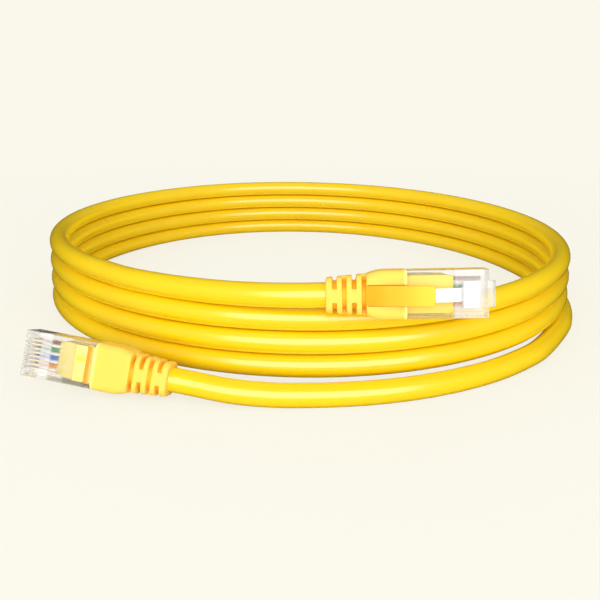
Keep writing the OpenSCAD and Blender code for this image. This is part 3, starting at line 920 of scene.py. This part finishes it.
@dataclass
class Cable:
    """The yellow cable from plug A through a loose coil to plug B. Sizes are in millimetres.

    The coil's angles are in degrees, from the front anticlockwise as seen from above, and count on from turn
    to turn. Each turn climbs to the next level from climb_start on.
    """

    diameter: float = 6.2
    rest_z: float = 2.85
    coil_r: float = 88.5
    coil_oval: float = 2.5
    oval_at: float = 54.0
    turn_rise: float = 6.33
    turn_shrink: float = 0.35
    loose_out: float = 8.3
    loose_from: float = -20.0
    loose_to: float = 111.0
    middle: tuple[float, float] = (-0.8, 4.8)
    start: float = 60.0
    end: float = 1395.0
    coil_points: int = 446
    climb_start: float = 214.0
    climb_len: float = 244.0
    sides: int = 28
    step: float = 2.4
    map_width: float = 0.02
    lead_a: tuple[Triple, ...] = (
        (-19.0, -91.4, 3.8),
        (-9.0, -91.7, 3.0),
        (1.0, -91.4, 2.85),
        (11.0, -90.5, 2.85),
        (21.0, -88.6, 2.85),
        (31.0, -85.6, 2.85),
        (41.0, -81.3, 2.85),
        (50.5, -75.9, 2.85),
        (59.0, -69.5, 2.85),
        (67.0, -61.9, 2.85),
    )
    lead_b: tuple[Triple, ...] = (
        (-49.8, -64.4, 24.296),
        (-41.5, -69.8, 24.596),
        (-32.0, -74.9, 24.996),
        (-22.0, -79.3, 25.496),
        (-12.0, -82.9, 26.196),
    )

    def coil_point(self, t: float) -> np.ndarray:
        """The middle of the cable at an angle of the coil."""
        turns = (t - self.climb_start) / 360.0
        full = math.floor(turns)
        level = 0.0 if turns < 0 else full + float(ease((turns - full) * 360.0 / self.climb_len))
        inwards = min(1.0, max(0.0, (t - self.loose_from) / (self.loose_to - self.loose_from)))
        loose = 0.5 + 0.5 * math.cos(math.pi * inwards)
        oval = self.coil_oval * math.cos(math.radians(2 * (t - self.oval_at)))
        r = self.coil_r + oval + self.loose_out * loose - self.turn_shrink * max(0.0, turns)
        a = math.radians(t)
        x, y = self.middle[0] + r * math.sin(a), self.middle[1] - r * math.cos(a)
        return np.array([x, y, self.rest_z + self.turn_rise * level])

    def route(self) -> np.ndarray:
        """The middle of the whole cable in metres, from plug A to plug B."""
        rear_a, rear_b = np.array(PLACE_A.rear), np.array(PLACE_B.rear)
        points = [
            rear_a,
            rear_a - self.diameter * PLACE_A.ahead(),
            *self.lead_a,
            *(self.coil_point(t) for t in np.linspace(self.start, self.end, self.coil_points)),
            *self.lead_b,
            rear_b - self.diameter * PLACE_B.ahead(),
            rear_b,
        ]
        return smooth_line(points, self.step) * MM

    def build(self, palette: Palette) -> Object:
        """Sweeps the jacket along the route, flat where it rests.

        Args:
            palette: the materials.

        Returns:
            The jacket.
        """
        line = self.route()
        ahead = unit(np.gradient(line, axis=0))
        out = unit(np.cross([0.0, 0.0, 1.0], ahead))
        up = np.cross(ahead, out)
        angles = np.arange(self.sides) * 2 * math.pi / self.sides
        c, s, r = np.cos(angles), np.sin(angles), self.diameter / 2 * MM
        rings = [p + r * (np.outer(c, o) + np.outer(s, u)) for p, o, u in zip(line, out, up)]
        for ring in rings:
            ring[:, 2] = np.maximum(ring[:, 2], 0.0)
        jacket = mesh_piece("cable_jacket", Skin(rings), palette.jacket, sharp=60.0)
        self._map(jacket)
        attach(jacket, "cable")
        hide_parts("coil", "lead_a", "lead_b")
        report(jacket)
        return jacket

    def _map(self, jacket: Object) -> None:
        """Lays the jacket's own map: along it by its length, and once round it."""
        mesh = jacket.data
        layer = mesh.uv_layers.new(name=JacketFinish.map_name)
        points = np.zeros(len(mesh.loops), np.int32)
        mesh.loops.foreach_get("vertex_index", points)
        around = (points % self.sides) / self.sides
        starts, totals = (np.zeros(len(mesh.polygons), np.int32) for _ in range(2))
        mesh.polygons.foreach_get("loop_start", starts)
        mesh.polygons.foreach_get("loop_total", totals)
        for first, total in zip(starts, totals):
            here = around[first : first + total]
            if total == 4 and here.max() - here.min() > 0.5:
                around[first : first + total] = np.where(here < 0.5, here + 1.0, here)
        along = (points // self.sides) * self.step * MM
        spots = np.stack([along, around * self.map_width], axis=1).astype(np.float32)
        layer.data.foreach_set("uv", spots.ravel())

    def declare(self) -> None:
        line = self.route()


# ---------------------------------------------------------------- the plug


@dataclass
class PlugPart:
    """A piece of a plug: the plug's name, its place and the materials.

    Sizes are in millimetres in the plug's frame: x from the relief's rear end to the nose, y across and z to
    the latch's side.
    """

    plug: str
    place: PlugPlace
    palette: Palette
    nose_x: float = 38.6
    boot_front_x: float = 19.4
    tail_x: float = 17.1

    def name(self, part: str) -> str:
        """The full name of a part of this plug."""
        return f"{self.plug}_{part}"

    def finish(self, piece: Object, slot: str, node: str) -> Object:
        """Has a piece ride on the cable, hides the CAD node it takes the place of and logs it."""
        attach(piece, "cable")
        return self.stand(piece, slot, node)

    def stand(self, piece: Object, slot: str, node: str) -> Object:
        """Hides the CAD node that a piece takes the place of and logs the piece."""
        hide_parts(self.name(node))
        report(piece)
        return piece


@dataclass
class Boot(PlugPart):
    """The moulded boot: strain relief with alternating cuts, tapering body, and a recess for the flap."""

    relief_len: float = 9.7
    end_w: float = 8.45
    end_h: float = 7.6
    rear_w: float = 10.0
    rear_h: float = 8.2
    front_w: float = 11.9
    front_h: float = 8.6
    taper: float = 4.3
    bore_r: float = 3.1
    sleeve_r: float = 3.55
    relief_r: float = 2.2
    body_r: float = 1.6
    corner_len: float = 1.5
    end_r: float = 0.5
    slots: tuple[tuple[float, float], ...] = ((1.7, 2.65), (4.05, 5.0), (6.4, 7.35), (8.75, 9.7))
    face_bridge: float = 1.75
    side_bridge: float = 1.6
    bridge_soft: float = 0.3
    wall: float = 0.34
    near_wall: tuple[float, ...] = (-0.5, -0.34, -0.2, -0.08, 0.08, 0.2, 0.34, 0.5)
    recess_half: float = 2.53
    recess_floor: float = 3.3
    recess_x: float = 10.1
    recess_ramp: float = 0.3
    recess_wall: float = 0.08
    near_recess: tuple[float, ...] = (-0.16, -0.08, 0.0, 0.08, 0.16)
    body_from: float = 10.5
    body_step: float = 0.45
    rim: float = 0.34
    # Where the painted highlight along the front rim starts, how softly it fades in, and which rings it takes
    rim_from: float = 0.62
    rim_soft: float = 0.5
    rim_inset: float = 0.3
    opening_w: float = 10.68
    opening_h: float = 6.25
    opening_r: float = 0.35
    opening_lift: float = -0.175
    tail_gap: float = 0.03

    def stations(self) -> list[tuple[float, float]]:
        """Places along the boot, close together at each wall, with how far the outline is drawn in there."""
        front, xs = self.boot_front_x - self.rim, [0.8, 1.2]
        for low, high in self.slots:
            xs += [x + w * self.wall for x in (low, high) for w in self.near_wall]
            xs += [(low + high) / 2, low - 0.5]
        xs += [self.recess_x + w for w in self.near_recess]
        xs += list(np.arange(self.body_from, front - 0.2, self.body_step))
        places = [(x, 0.0) for x in xs]
        places += [(self.end_r - c, self.end_r - s) for c, s in quarter(self.end_r, 8)]
        places += [(front + s, self.rim - c) for c, s in quarter(self.rim, 7)]
        return sorted(set((round(float(x), 3), round(float(inset), 4)) for x, inset in places))

    @staticmethod
    def outline(half_w: float, half_h: float, radius: float) -> np.ndarray:
        """A rounded rectangle whose points keep their places from ring to ring where cuts and recess end.

        Args:
            half_w: half its width.
            half_h: half its height.
            radius: its corners' radius.

        Returns:
            An array of (across, up) pairs, once round.
        """
        over = np.array([0.0, 0.6, 1.2, 1.5, 1.6, 1.68, 1.75, 1.82, 1.9, 2.05, 2.3, 2.49, 2.57, 2.7, 2.9])
        beside = np.array([0.0, 0.7, 1.2, 1.42, 1.52, 1.6, 1.68, 1.78, 1.9])
        top = half_h - radius + np.sqrt(radius**2 - np.maximum(over - (half_w - radius), 0.0) ** 2)
        side = half_w - radius + np.sqrt(radius**2 - np.maximum(beside - (half_h - radius), 0.0) ** 2)
        ends = math.atan2(beside[-1], side[-1]), math.atan2(top[-1], over[-1])
        corner = rounded_rectangle(half_w, half_h, radius, np.linspace(*ends, 12)[1:-1])
        right = np.vstack([np.column_stack([side, beside]), corner, np.column_stack([over, top])[::-1]])
        upper = np.vstack([right, right[-2::-1] * (-1, 1)])
        return np.vstack([upper, upper[1:-1][::-1] * (1, -1)])

    def ring(self, x: float, inset: float) -> tuple[np.ndarray, np.ndarray]:
        """One ring of the boot's outside, with cuts and recess worked in.

        Args:
            x: the ring's place along the plug.
            inset: how far the outline is drawn in.

        Returns:
            The ring's points in the plug's frame, and how deep in a cut each is, from 0 to 1.
        """
        share = min(1.0, x / self.relief_len)
        half_w = (self.end_w + share * (self.rear_w - self.end_w)) / 2
        half_h = (self.end_h + share * (self.rear_h - self.end_h)) / 2
        if x > self.relief_len:
            grown = float(ease((x - self.relief_len) / self.taper * 0.5 + 0.5)) * 2 - 1
            half_w += grown * (self.front_w - self.rear_w) / 2
            half_h += grown * (self.front_h - self.rear_h) / 2
        tighter = float(ease((x - self.relief_len) / self.corner_len))
        radius = self.relief_r - (self.relief_r - self.body_r) * tighter
        y, z = self.outline(half_w - inset, half_h - inset, radius).T
        angles = np.arctan2(z, y)
        soft = self.bridge_soft
        cuts = edge(np.abs(y), self.face_bridge, soft), edge(np.abs(z), self.side_bridge, soft)
        hollow = np.zeros_like(y)
        for k, (low, high) in enumerate(self.slots):
            depth = edge(x, low, self.wall) * (1 - edge(x, high, self.wall))
            hollow = np.maximum(hollow, depth * cuts[k % 2])
        y = y + hollow * (self.sleeve_r * np.cos(angles) - y)
        z = z + hollow * (self.sleeve_r * np.sin(angles) - z)
        across = 1 - edge(np.abs(y), self.recess_half, self.recess_wall)
        recess = edge(x, self.recess_x, self.recess_ramp) * across * (z > 0)
        z = z + recess * (np.minimum(z, self.recess_floor) - z)
        return np.stack([np.full_like(y, x), y, z], axis=1), hollow

    def build(self) -> Object:
        """Makes the boot as one closed skin, outside, front opening and bore."""
        stations = self.stations()
        rings, hollows = zip(*(self.ring(x, inset) for x, inset in stations))
        rings, count = list(rings), len(rings[0])
        # Rings by the front rim get a painted highlight, which fades in from pale on
        pale = self.boot_front_x - self.rim_from
        rim_highlight = [float(edge(x, pale, self.rim_soft)) * (inset < self.rim_inset) for x, inset in stations]
        opening = self.outline(self.opening_w / 2, self.opening_h / 2, self.opening_r)
        turns = np.arctan2(opening[:, 1], opening[:, 0])
        bore = self.bore_r * np.stack([np.cos(turns), np.sin(turns)], axis=1)
        seat = self.tail_x + self.tail_gap
        for x, outline, lift in (
            (self.boot_front_x, opening, self.opening_lift),
            (seat, opening, self.opening_lift),
            (seat, bore, 0.0),
            (0.0, bore, 0.0),
        ):
            rings.append(np.column_stack([np.full(count, x), outline[:, 0], outline[:, 1] + lift]))
        skin = Skin(rings, looped=True)
        piece = mesh_piece(self.name("boot_moulding"), skin, self.palette.boot, self.place.matrix(), 50.0)
        inside = np.zeros(4 * count)
        # hollow steers the painted shade in the cuts, rim the painted highlight along the front rim
        set_attribute(piece, "hollow", np.concatenate([*hollows, inside]))
        set_attribute(piece, "rim", np.concatenate([np.repeat(rim_highlight, count), inside]))
        return self.finish(piece, "boot", "boot")


@dataclass
class Lever(PlugPart):
    """A thin tongue that bends at its root: sections along a centre line in the plug's x and z.
    """

    node: str = ""
    piece: str = ""
    slot: str = ""
    bends_at: tuple[Triple, ...] = ()
    corner: float = 0.2
    around: int = 44

    def centre_line(self) -> np.ndarray:
        """The tongue's centre line, as x and z."""
        raise NotImplementedError

    def section(self, run: float, length: float) -> tuple[float, float]:
        """Half width and half thickness at a distance from the root."""
        raise NotImplementedError

    def build(self, material: Material) -> Object:
        """Sweeps the tongue's sections along its centre line, which bends out of the plug.

        Args:
            material: its material.

        Returns:
            The piece, with how far each point is from the root as an attribute from 0 to 1.
        """
        line = self.centre_line()
        runs, ahead = summed(strides(line)), unit(np.gradient(line, axis=0))
        angles = (np.arange(self.around) + 0.5) * 2 * math.pi / self.around
        rings = []
        for point, forward, run in zip(line, ahead, runs):
            half_w, half_t = self.section(float(run), float(runs[-1]))
            radius = min(self.corner, half_t * 0.9, half_w * 0.9)
            across, up = rounded_rectangle(half_w, half_t, radius, angles).T
            rings.append(np.column_stack([point[0] - forward[1] * up, across, point[1] + forward[0] * up]))
        piece = mesh_piece(self.name(self.piece), Skin(rings), material, self.place.matrix(), 35.0)
        set_attribute(piece, "from_root", np.repeat(runs / runs[-1], self.around))
        start, end = (self.place.at(*spot) for spot in self.bends_at)
        f"{self.node}_{self.plug[-1]}"
        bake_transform(piece)
        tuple(start)
        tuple(end)
        return self.stand(piece, self.slot, self.node)


@dataclass
class Flap(Lever):
    """The boot's flap that covers and presses the latch."""

    node: str = "latch_cover"
    piece: str = "latch_cover_flap"
    slot: str = "boot"
    bends_at: tuple[Triple, ...] = ((10.0, 0.0, 3.8), (11.6, 0.0, 4.2))
    root: tuple[tuple[float, float], ...] = ((9.85, 3.74), (10.2, 3.83))
    step: float = 0.7
    width: float = 4.9
    thickness: float = 1.1
    hinge_x: float = 10.7
    hinge_z: float = 3.95
    tip_x: float = 25.5
    tip_r: float = 0.6
    edge_r: float = 0.25
    angle: float = 13.84
    corner: float = 0.3
    near_tip: tuple[float, ...] = (0.6, 0.48, 0.36, 0.25, 0.16, 0.08, 0.03, 0.0)

    def centre_line(self) -> np.ndarray:
        """From inside the boot's recess up along the flap."""
        slope = math.tan(math.radians(self.angle))
        tip = self.tip_x - np.array(self.near_tip)
        xs = np.concatenate([np.arange(self.hinge_x, self.tip_x - self.tip_r, self.step), tip])
        return np.array([*self.root, *((x, self.hinge_z + slope * (x - self.hinge_x)) for x in xs)])

    def section(self, run: float, length: float) -> tuple[float, float]:
        """Full until its tip, which is rounded in plan and along its edge."""
        left = length - run
        return self.width / 2 - drawn_in(left, self.tip_r), self.thickness / 2 - drawn_in(left, self.edge_r)


@dataclass
class Latch(Lever):
    """The plug's sprung latch: wide from its root to the shoulders, narrow behind them."""

    node: str = "latch"
    piece: str = "latch_lever"
    slot: str = "clear_latch"
    bends_at: tuple[Triple, ...] = ((39.5, 0.0, 2.9), (38.2, 0.0, 4.2))
    step: float = 0.6
    bend_step: float = 0.16
    neck_soft: float = 0.3
    root_w: float = 6.2
    neck_w: float = 3.25
    thickness: float = 1.0
    hinge_x: float = 39.1
    hinge_z: float = 3.9
    back_x: float = 37.6
    end_x: float = 24.6
    shoulder_x: float = 32.2
    end_r: float = 0.2
    angle: float = 8.5
    corner: float = 0.16
    near_shoulder: tuple[float, ...] = (0.25, 0.12, 0.0, -0.12, -0.25)
    near_end: tuple[float, ...] = (0.2, 0.1, 0.03, 0.0)
    bend: tuple[tuple[float, float], ...] = (
        (39.42, 2.2),
        (39.45, 2.8),
        (39.38, 3.4),
        (39.1, 3.8),
        (38.6, 3.97),
        (37.95, 4.072),
    )

    def centre_line(self) -> np.ndarray:
        """Out of the web in front of the nose, round the bend and back over the housing."""
        slope = math.tan(math.radians(self.angle))
        xs = [float(x) for x in np.arange(self.back_x, self.end_x, -self.step)]
        xs += [self.shoulder_x + d for d in self.near_shoulder] + [self.end_x + d for d in self.near_end]
        back = [(x, self.hinge_z + slope * (self.hinge_x - x)) for x in sorted(set(xs), reverse=True)]
        return np.vstack([smooth_line(self.bend, self.bend_step), np.array(back)])

    def section(self, run: float, length: float) -> tuple[float, float]:
        """Wide, then narrow behind the shoulders, with a rounded end."""
        neck = length - (self.shoulder_x - self.end_x) / math.cos(math.radians(self.angle))
        half_w = self.root_w / 2 + float(edge(run, neck, self.neck_soft)) * (self.neck_w - self.root_w) / 2
        drawn = drawn_in(length - run, self.end_r)
        return half_w - drawn, self.thickness / 2 - drawn


@dataclass
class Contacts(PlugPart):
    """Eight gilt blades in the nose's slots."""

    count: int = len(WireColour)
    pitch: float = PITCH
    thickness: float = 0.35
    length: float = 3.4
    nose_gap: float = 1.0
    nose_r: float = 0.5
    heel_r: float = 0.25
    top_z: float = -2.9
    body_z: float = -0.28
    tine_z: float = 0.55
    tine: Triple = (0.5, 0.8, 1.1)
    edges: tuple[tuple[float, float], ...] = (
        (-0.5, 0.05),
        (-0.44, 0.012),
        (-0.4, 0.0),
        (0.4, 0.0),
        (0.44, 0.012),
        (0.5, 0.05),
    )

    def outline(self) -> np.ndarray:
        """A blade's side outline in x and z, with a rounded nose and two tines."""
        high = self.nose_x - self.nose_gap
        low, n, h = high - self.length, self.nose_r, self.heel_r
        nose = [(high - n + c, self.top_z + n - s) for c, s in quarter(n, 7)[::-1]]
        heel = [(low + h - c, self.top_z + h - s) for c, s in quarter(h, 7)]
        heights = (self.body_z, self.body_z, self.tine_z, self.body_z)
        steps = list(zip((0.0, *self.tine), heights))
        tines = [(high - d, z) for d, z in steps] + [(low + d, z) for d, z in steps[::-1]]
        return np.array(nose + tines + heel)

    def build(self, row: Recipe) -> Object:
        """Makes one blade with broken edges and repeats it in a row.

        Args:
            row: the tree that repeats it.

        Returns:
            The eight blades.
        """
        flat = self.outline()
        inward = unit(flat.mean(0) - flat)
        rings = []
        for y, inset in self.edges:
            drawn = flat + inward * inset
            across = np.full(len(flat), -(self.count - 1) / 2 * self.pitch + y * self.thickness)
            rings.append(np.column_stack([drawn[:, 0], across, drawn[:, 1]]))
        gold = self.palette.gold
        blade = mesh_piece(self.name("contact_blades"), Skin(rings), gold, self.place.matrix(), 30.0)
        turned = self.place.matrix().to_3x3() @ Vector((0, self.pitch, 0))
        row.apply(blade, {"Count": self.count, "Step": tuple(turned), "Finish": gold})
        return self.finish(blade, "gold_contact", "contacts")


@dataclass
class Wires(PlugPart):
    """Eight insulated wires from the jacket's end to the nose, with stranded copper in them."""

    pitch: float = PITCH
    bundle_pitch: float = 0.7
    bundle_lift: float = 0.6
    wire_z: float = 0.3
    kink_x: float = 27.6
    end_x: float = 37.0
    bare: float = 0.15
    bend: float = 1.2
    radius: float = 0.48
    strand_r: float = 0.078
    wire_step: float = 0.45
    strand_step: float = 0.6
    wire_twist: float = 120.0
    strand_twist: float = 420.0

    def path(self, k: int, extra: float = 0.0) -> np.ndarray:
        """The middle of wire k in the row frame, and of its copper with an extra length."""
        lift = self.bundle_lift if k % 2 == 0 else -self.bundle_lift
        middle = (len(WireColour) - 1) / 2
        start = np.array([self.tail_x, (k - middle) * self.bundle_pitch, self.wire_z + lift])
        kink = np.array([self.kink_x, (k - middle) * self.pitch, self.wire_z])
        end = kink + np.array([self.end_x + extra - self.kink_x, 0, 0])
        turned = self.place.matrix()
        return np.array([tuple(turned @ Vector(p)) for p in (start, start + 0.1 * (kink - start), kink, end)])

    def sweep(self, piece: Object, recipe: Recipe, radius: float, values: dict[str, Any]) -> None:
        """Sweeps a piece's paths and shades it."""
        recipe.apply(piece, {"Radius": radius * MM, "Bend": self.bend * MM, **values})
        shade(piece.data)

    def build(self, wire: Recipe, strands: Recipe) -> list[Object]:
        """Sweeps the wires and their copper.

        Args:
            wire: the tree that sweeps a round wire.
            strands: the tree that sweeps seven strands.

        Returns:
            The pieces.
        """
        made = []
        values = {"Step": self.wire_step * MM, "Twist": self.wire_twist, "Sides": 16}
        for k, colour in enumerate(WireColour):
            piece = path_piece(self.name("insulated_" + colour.node), [self.path(k)])
            self.sweep(piece, wire, self.radius, {**values, "Finish": self.palette.wires[colour]})
            made.append(self.finish(piece, colour.slot, colour.node))
        paths = [self.path(k, self.bare) for k in range(len(WireColour))]
        copper = path_piece(self.name("copper_strands"), paths)
        values = {"Step": self.strand_step * MM, "Twist": self.strand_twist, "Sides": 7}
        self.sweep(copper, strands, self.strand_r, {**values, "Finish": self.palette.copper})
        return [*made, self.finish(copper, "copper", "copper_cores")]


@dataclass
class Housing(PlugPart):
    """The clear housing and the moulded core in it: the CAD nodes' forms, softened along their edges."""

    shell_edge: float = 0.07
    core_edge: float = 0.05
    weld: float = 2e-6

    def plain(self, node: str, name: str, material: Material) -> Mesh:
        """A copy of a CAD node's mesh, with flat areas joined to single faces."""
        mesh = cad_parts[self.name(node)].data.copy()
        mesh.name = self.name(name)
        mesh.materials.clear()
        mesh.materials.append(material)
        work = bmesh.new()
        work.from_mesh(mesh)
        bmesh.ops.remove_doubles(work, verts=work.verts, dist=self.weld)
        flat = {"angle_limit": math.radians(1.0), "use_dissolve_boundaries": False}
        bmesh.ops.dissolve_limit(work, verts=work.verts, edges=work.edges, **flat)
        for face in work.faces:
            face.material_index = 0
            face.smooth = True
        work.to_mesh(mesh)
        work.free()
        for layer in list(mesh.uv_layers):
            mesh.uv_layers.remove(layer)
        return mesh

    def soften(self, node: str, name: str, material: Material, width: float) -> Object:
        """A copy of a CAD node's form with small round edges.

        Args:
            node: the CAD node.
            name: the new piece's name.
            material: its material.
            width: the rounding's width.

        Returns:
            The piece, with each point's place along, across and up in the plug as attributes.
        """
        mesh = self.plain(node, name, material)
        piece = linked(mesh.name, mesh)
        bevel = piece.modifiers.new("soft_edge", "BEVEL")
        bevel.width = width * MM
        bevel.segments = 2
        bevel.limit_method = "ANGLE"
        bevel.angle_limit = math.radians(40)
        bevel.use_clamp_overlap = True
        plain_mesh(piece)
        shade(piece.data, 30.0)
        back = self.place.matrix().inverted()
        own = np.array([tuple(back @ v.co) for v in piece.data.vertices])
        set_attribute(piece, "along_plug", own[:, 0] / self.nose_x)
        set_attribute(piece, "across_plug", own[:, 1])
        set_attribute(piece, "up_plug", own[:, 2])
        return piece

    def build(self) -> list[Object]:
        """Makes the housing and the core."""
        shell = self.soften("housing", "clear_shell", self.palette.clear, self.shell_edge)
        core = self.soften("moulded_core", "core_moulding", self.palette.core, self.core_edge)
        return [
            self.finish(shell, "clear_housing", "housing"),
            self.finish(core, "moulded_core", "moulded_core"),
        ]


@dataclass
class Plug:
    """One whole plug: housing, latch, boot, flap, core, contacts and wires."""

    name: str
    place: PlugPlace
    palette: Palette

    def build(self, row: Recipe, wire: Recipe, strands: Recipe) -> list[Object]:
        """Builds every piece of the plug.

        Args:
            row: repeats the contacts.
            wire: sweeps the wires.
            strands: sweeps their copper.

        Returns:
            The pieces.
        """
        own = (self.name, self.place, self.palette)
        jacket_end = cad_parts[self.name + "_jacket_end"]
        for slot in jacket_end.material_slots:
            slot.material = self.palette.jacket
        return [
            Boot(*own).build(),
            Flap(*own).build(self.palette.flap),
            Latch(*own).build(self.palette.clear_latch),
            *Housing(*own).build(),
            Contacts(*own).build(row),
            *Wires(*own).build(wire, strands),
            jacket_end,
        ]


# ---------------------------------------------------------------- the studio


@dataclass(frozen=True)
class Rays:
    """What a ray is, as shares from 0 to 1: passed through something clear, seen by the eye, or gloss."""

    through: Signal
    seen: Signal
    glossy: Signal

    @classmethod
    def of(cls, graph: Graph) -> "Rays":
        """The shares in a graph."""
        path = graph.node("ShaderNodeLightPath")
        through = graph.out(path, "Transmission Depth").above(0.5)
        seen = graph.out(path, "Is Camera Ray").larger(through)
        return cls(through, seen, graph.out(path, "Is Glossy Ray") * (1.0 - through))


@dataclass(frozen=True)
class Lamp:
    """A soft rectangular lamp: where it is, its power in watts, where it points and its sides, in metres."""

    name: str
    at: Triple
    watts: float
    to: Triple = (0.0, 0.0, 0.0)
    size: tuple[float, float] = (0.8, 0.6)
    in_gloss: bool = False

    def build(self) -> None:
        """Hangs the lamp."""
        data = bpy.data.lights.new(self.name, "AREA")
        data.shape = "RECTANGLE"
        data.size, data.size_y = self.size
        data.energy = self.watts
        made = linked(self.name, data)
        made.location = self.at
        made.rotation_mode = "QUATERNION"
        made.rotation_quaternion = (Vector(self.to) - Vector(self.at)).to_track_quat("-Z", "Y")
        made.visible_glossy = self.in_gloss


@dataclass
class Studio:
    """Floor, soft lamps, sky and camera."""

    background: Colour = (0.956, 0.939, 0.838)
    ground: Colour = (0.88, 0.865, 0.77)
    lens_px: float = 673.8
    picture_px: float = 600.0
    middle_px: float = 307.2
    sensor_mm: float = 36.0
    eye: Triple = (0.0, -0.2411, 0.0807)
    pitch: float = 19.43
    roll: float = 0.636
    floor_half: float = 6.0
    fill: float = 0.56
    room: float = 0.012
    dusk: Colour = (0.36, 0.32, 0.28)
    lamps: tuple[Lamp, ...] = (
        Lamp("key", (0.02, -0.60, 0.29), 3.7, (0.0, 0.0, 0.02), (0.95, 0.56), True),
        Lamp("top", (-0.05, 0.10, 0.75), 0.6),
        Lamp("back", (0.05, 0.70, 0.40), 1.2),
        Lamp("left", (-0.75, -0.25, 0.35), 1.3),
        Lamp("right", (0.75, -0.25, 0.35), 0.9),
    )

    def build(self) -> None:
        """Makes the camera, the floor, the sky and the lamps."""
        self.camera()
        self.floor()
        self.sky()
        for lamp in self.lamps:
            lamp.build()

    def camera(self) -> None:
        """A camera a little above the coil, in front of it."""
        data = bpy.data.cameras.new("camera")
        data.sensor_width = self.sensor_mm
        data.lens = self.sensor_mm * self.lens_px / self.picture_px
        data.shift_x = (self.picture_px / 2 - self.middle_px) / self.picture_px
        data.clip_start, data.clip_end = 0.01, 20.0
        made = linked("camera", data)
        made.matrix_world = (
            Matrix.Translation(self.eye)
            @ Matrix.Rotation(math.radians(90 - self.pitch), 4, "X")
            @ Matrix.Rotation(math.radians(self.roll), 4, "Z")
        )
        bpy.context.scene.camera = made

    def floor(self) -> None:
        """A pale floor that keeps a soft shadow near the cable and runs out into the background."""
        mesh = bpy.data.meshes.new("floor")
        s = self.floor_half
        mesh.from_pydata([(-s, -s, 0), (s, -s, 0), (s, s, 0), (-s, s, 0)], [], [(0, 1, 2, 3)])
        made = linked("floor", mesh)
        material = bpy.data.materials.new("pale_floor")
        graph = Graph.of(material)
        rays = Rays.of(graph)
        plain = graph.get("ShaderNodeBsdfDiffuse", None, {"Color": self.ground})
        glow = graph.get("ShaderNodeEmission", None, {"Color": self.background, "Strength": 1.0})
        dim = graph.get("ShaderNodeEmission", None, {"Color": self.background, "Strength": self.room})
        spot = graph.get("ShaderNodeTexCoord", key="Object")
        far = graph.get("ShaderNodeVectorMath", {"operation": "LENGTH"}, {0: spot}, "Value")
        fade = graph.ramp(far, ((0.12, 0.8), (0.42, 1.0)))
        shown = graph.either(rays.seen * fade, plain, glow)
        graph.node("ShaderNodeOutputMaterial", None, {"Surface": graph.either(rays.glossy, shown, dim)})
        mesh.materials.append(material)

    def sky(self) -> None:
        """An even white sky: the eye sees it as the background, gloss as a dim room, and what is seen through
        clear plastic gets darker upwards."""
        world = bpy.data.worlds.new("sky")
        graph = Graph.of(world)
        rays = Rays.of(graph)
        way = graph.get("ShaderNodeTexCoord", key=0)
        height = graph.get("ShaderNodeSeparateXYZ", None, {0: way}, "Z")
        high = graph.ramp(height, ((0.05, 0.0), (0.5, 1.0))) * rays.through
        colour = graph.mix(high, self.background, self.dusk)
        light = graph.get("ShaderNodeBackground", None, {"Color": WHITE, "Strength": self.fill})
        room = graph.get("ShaderNodeBackground", None, {"Color": WHITE, "Strength": self.room})
        shown = graph.get("ShaderNodeBackground", None, {"Color": colour, "Strength": 1.0})
        lit = graph.either(rays.glossy, light, room)
        graph.node("ShaderNodeOutputWorld", None, {"Surface": graph.either(rays.seen, lit, shown)})
        bpy.context.scene.world = world


def main() -> None:
    """Builds the camera, the cable and both plugs."""
    logging.basicConfig(level=logging.INFO, format="%(name)s: %(message)s", stream=sys.stdout)
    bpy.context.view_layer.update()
    bpy.context.scene.view_settings.view_transform = "Standard"
    Studio().build()
    palette = Palette()
    cable = Cable()
    jacket = cable.build(palette)
    row = row_recipe()
    wire, strands = sweep_recipe("round_wire", False), sweep_recipe("seven_strands", True)
    Plug("plug_a", PLACE_A, palette).build(row, wire, strands)
    far = Plug("plug_b", PLACE_B, palette).build(row, wire, strands)
    cable.declare()


if __name__ == "__main__":
    main()
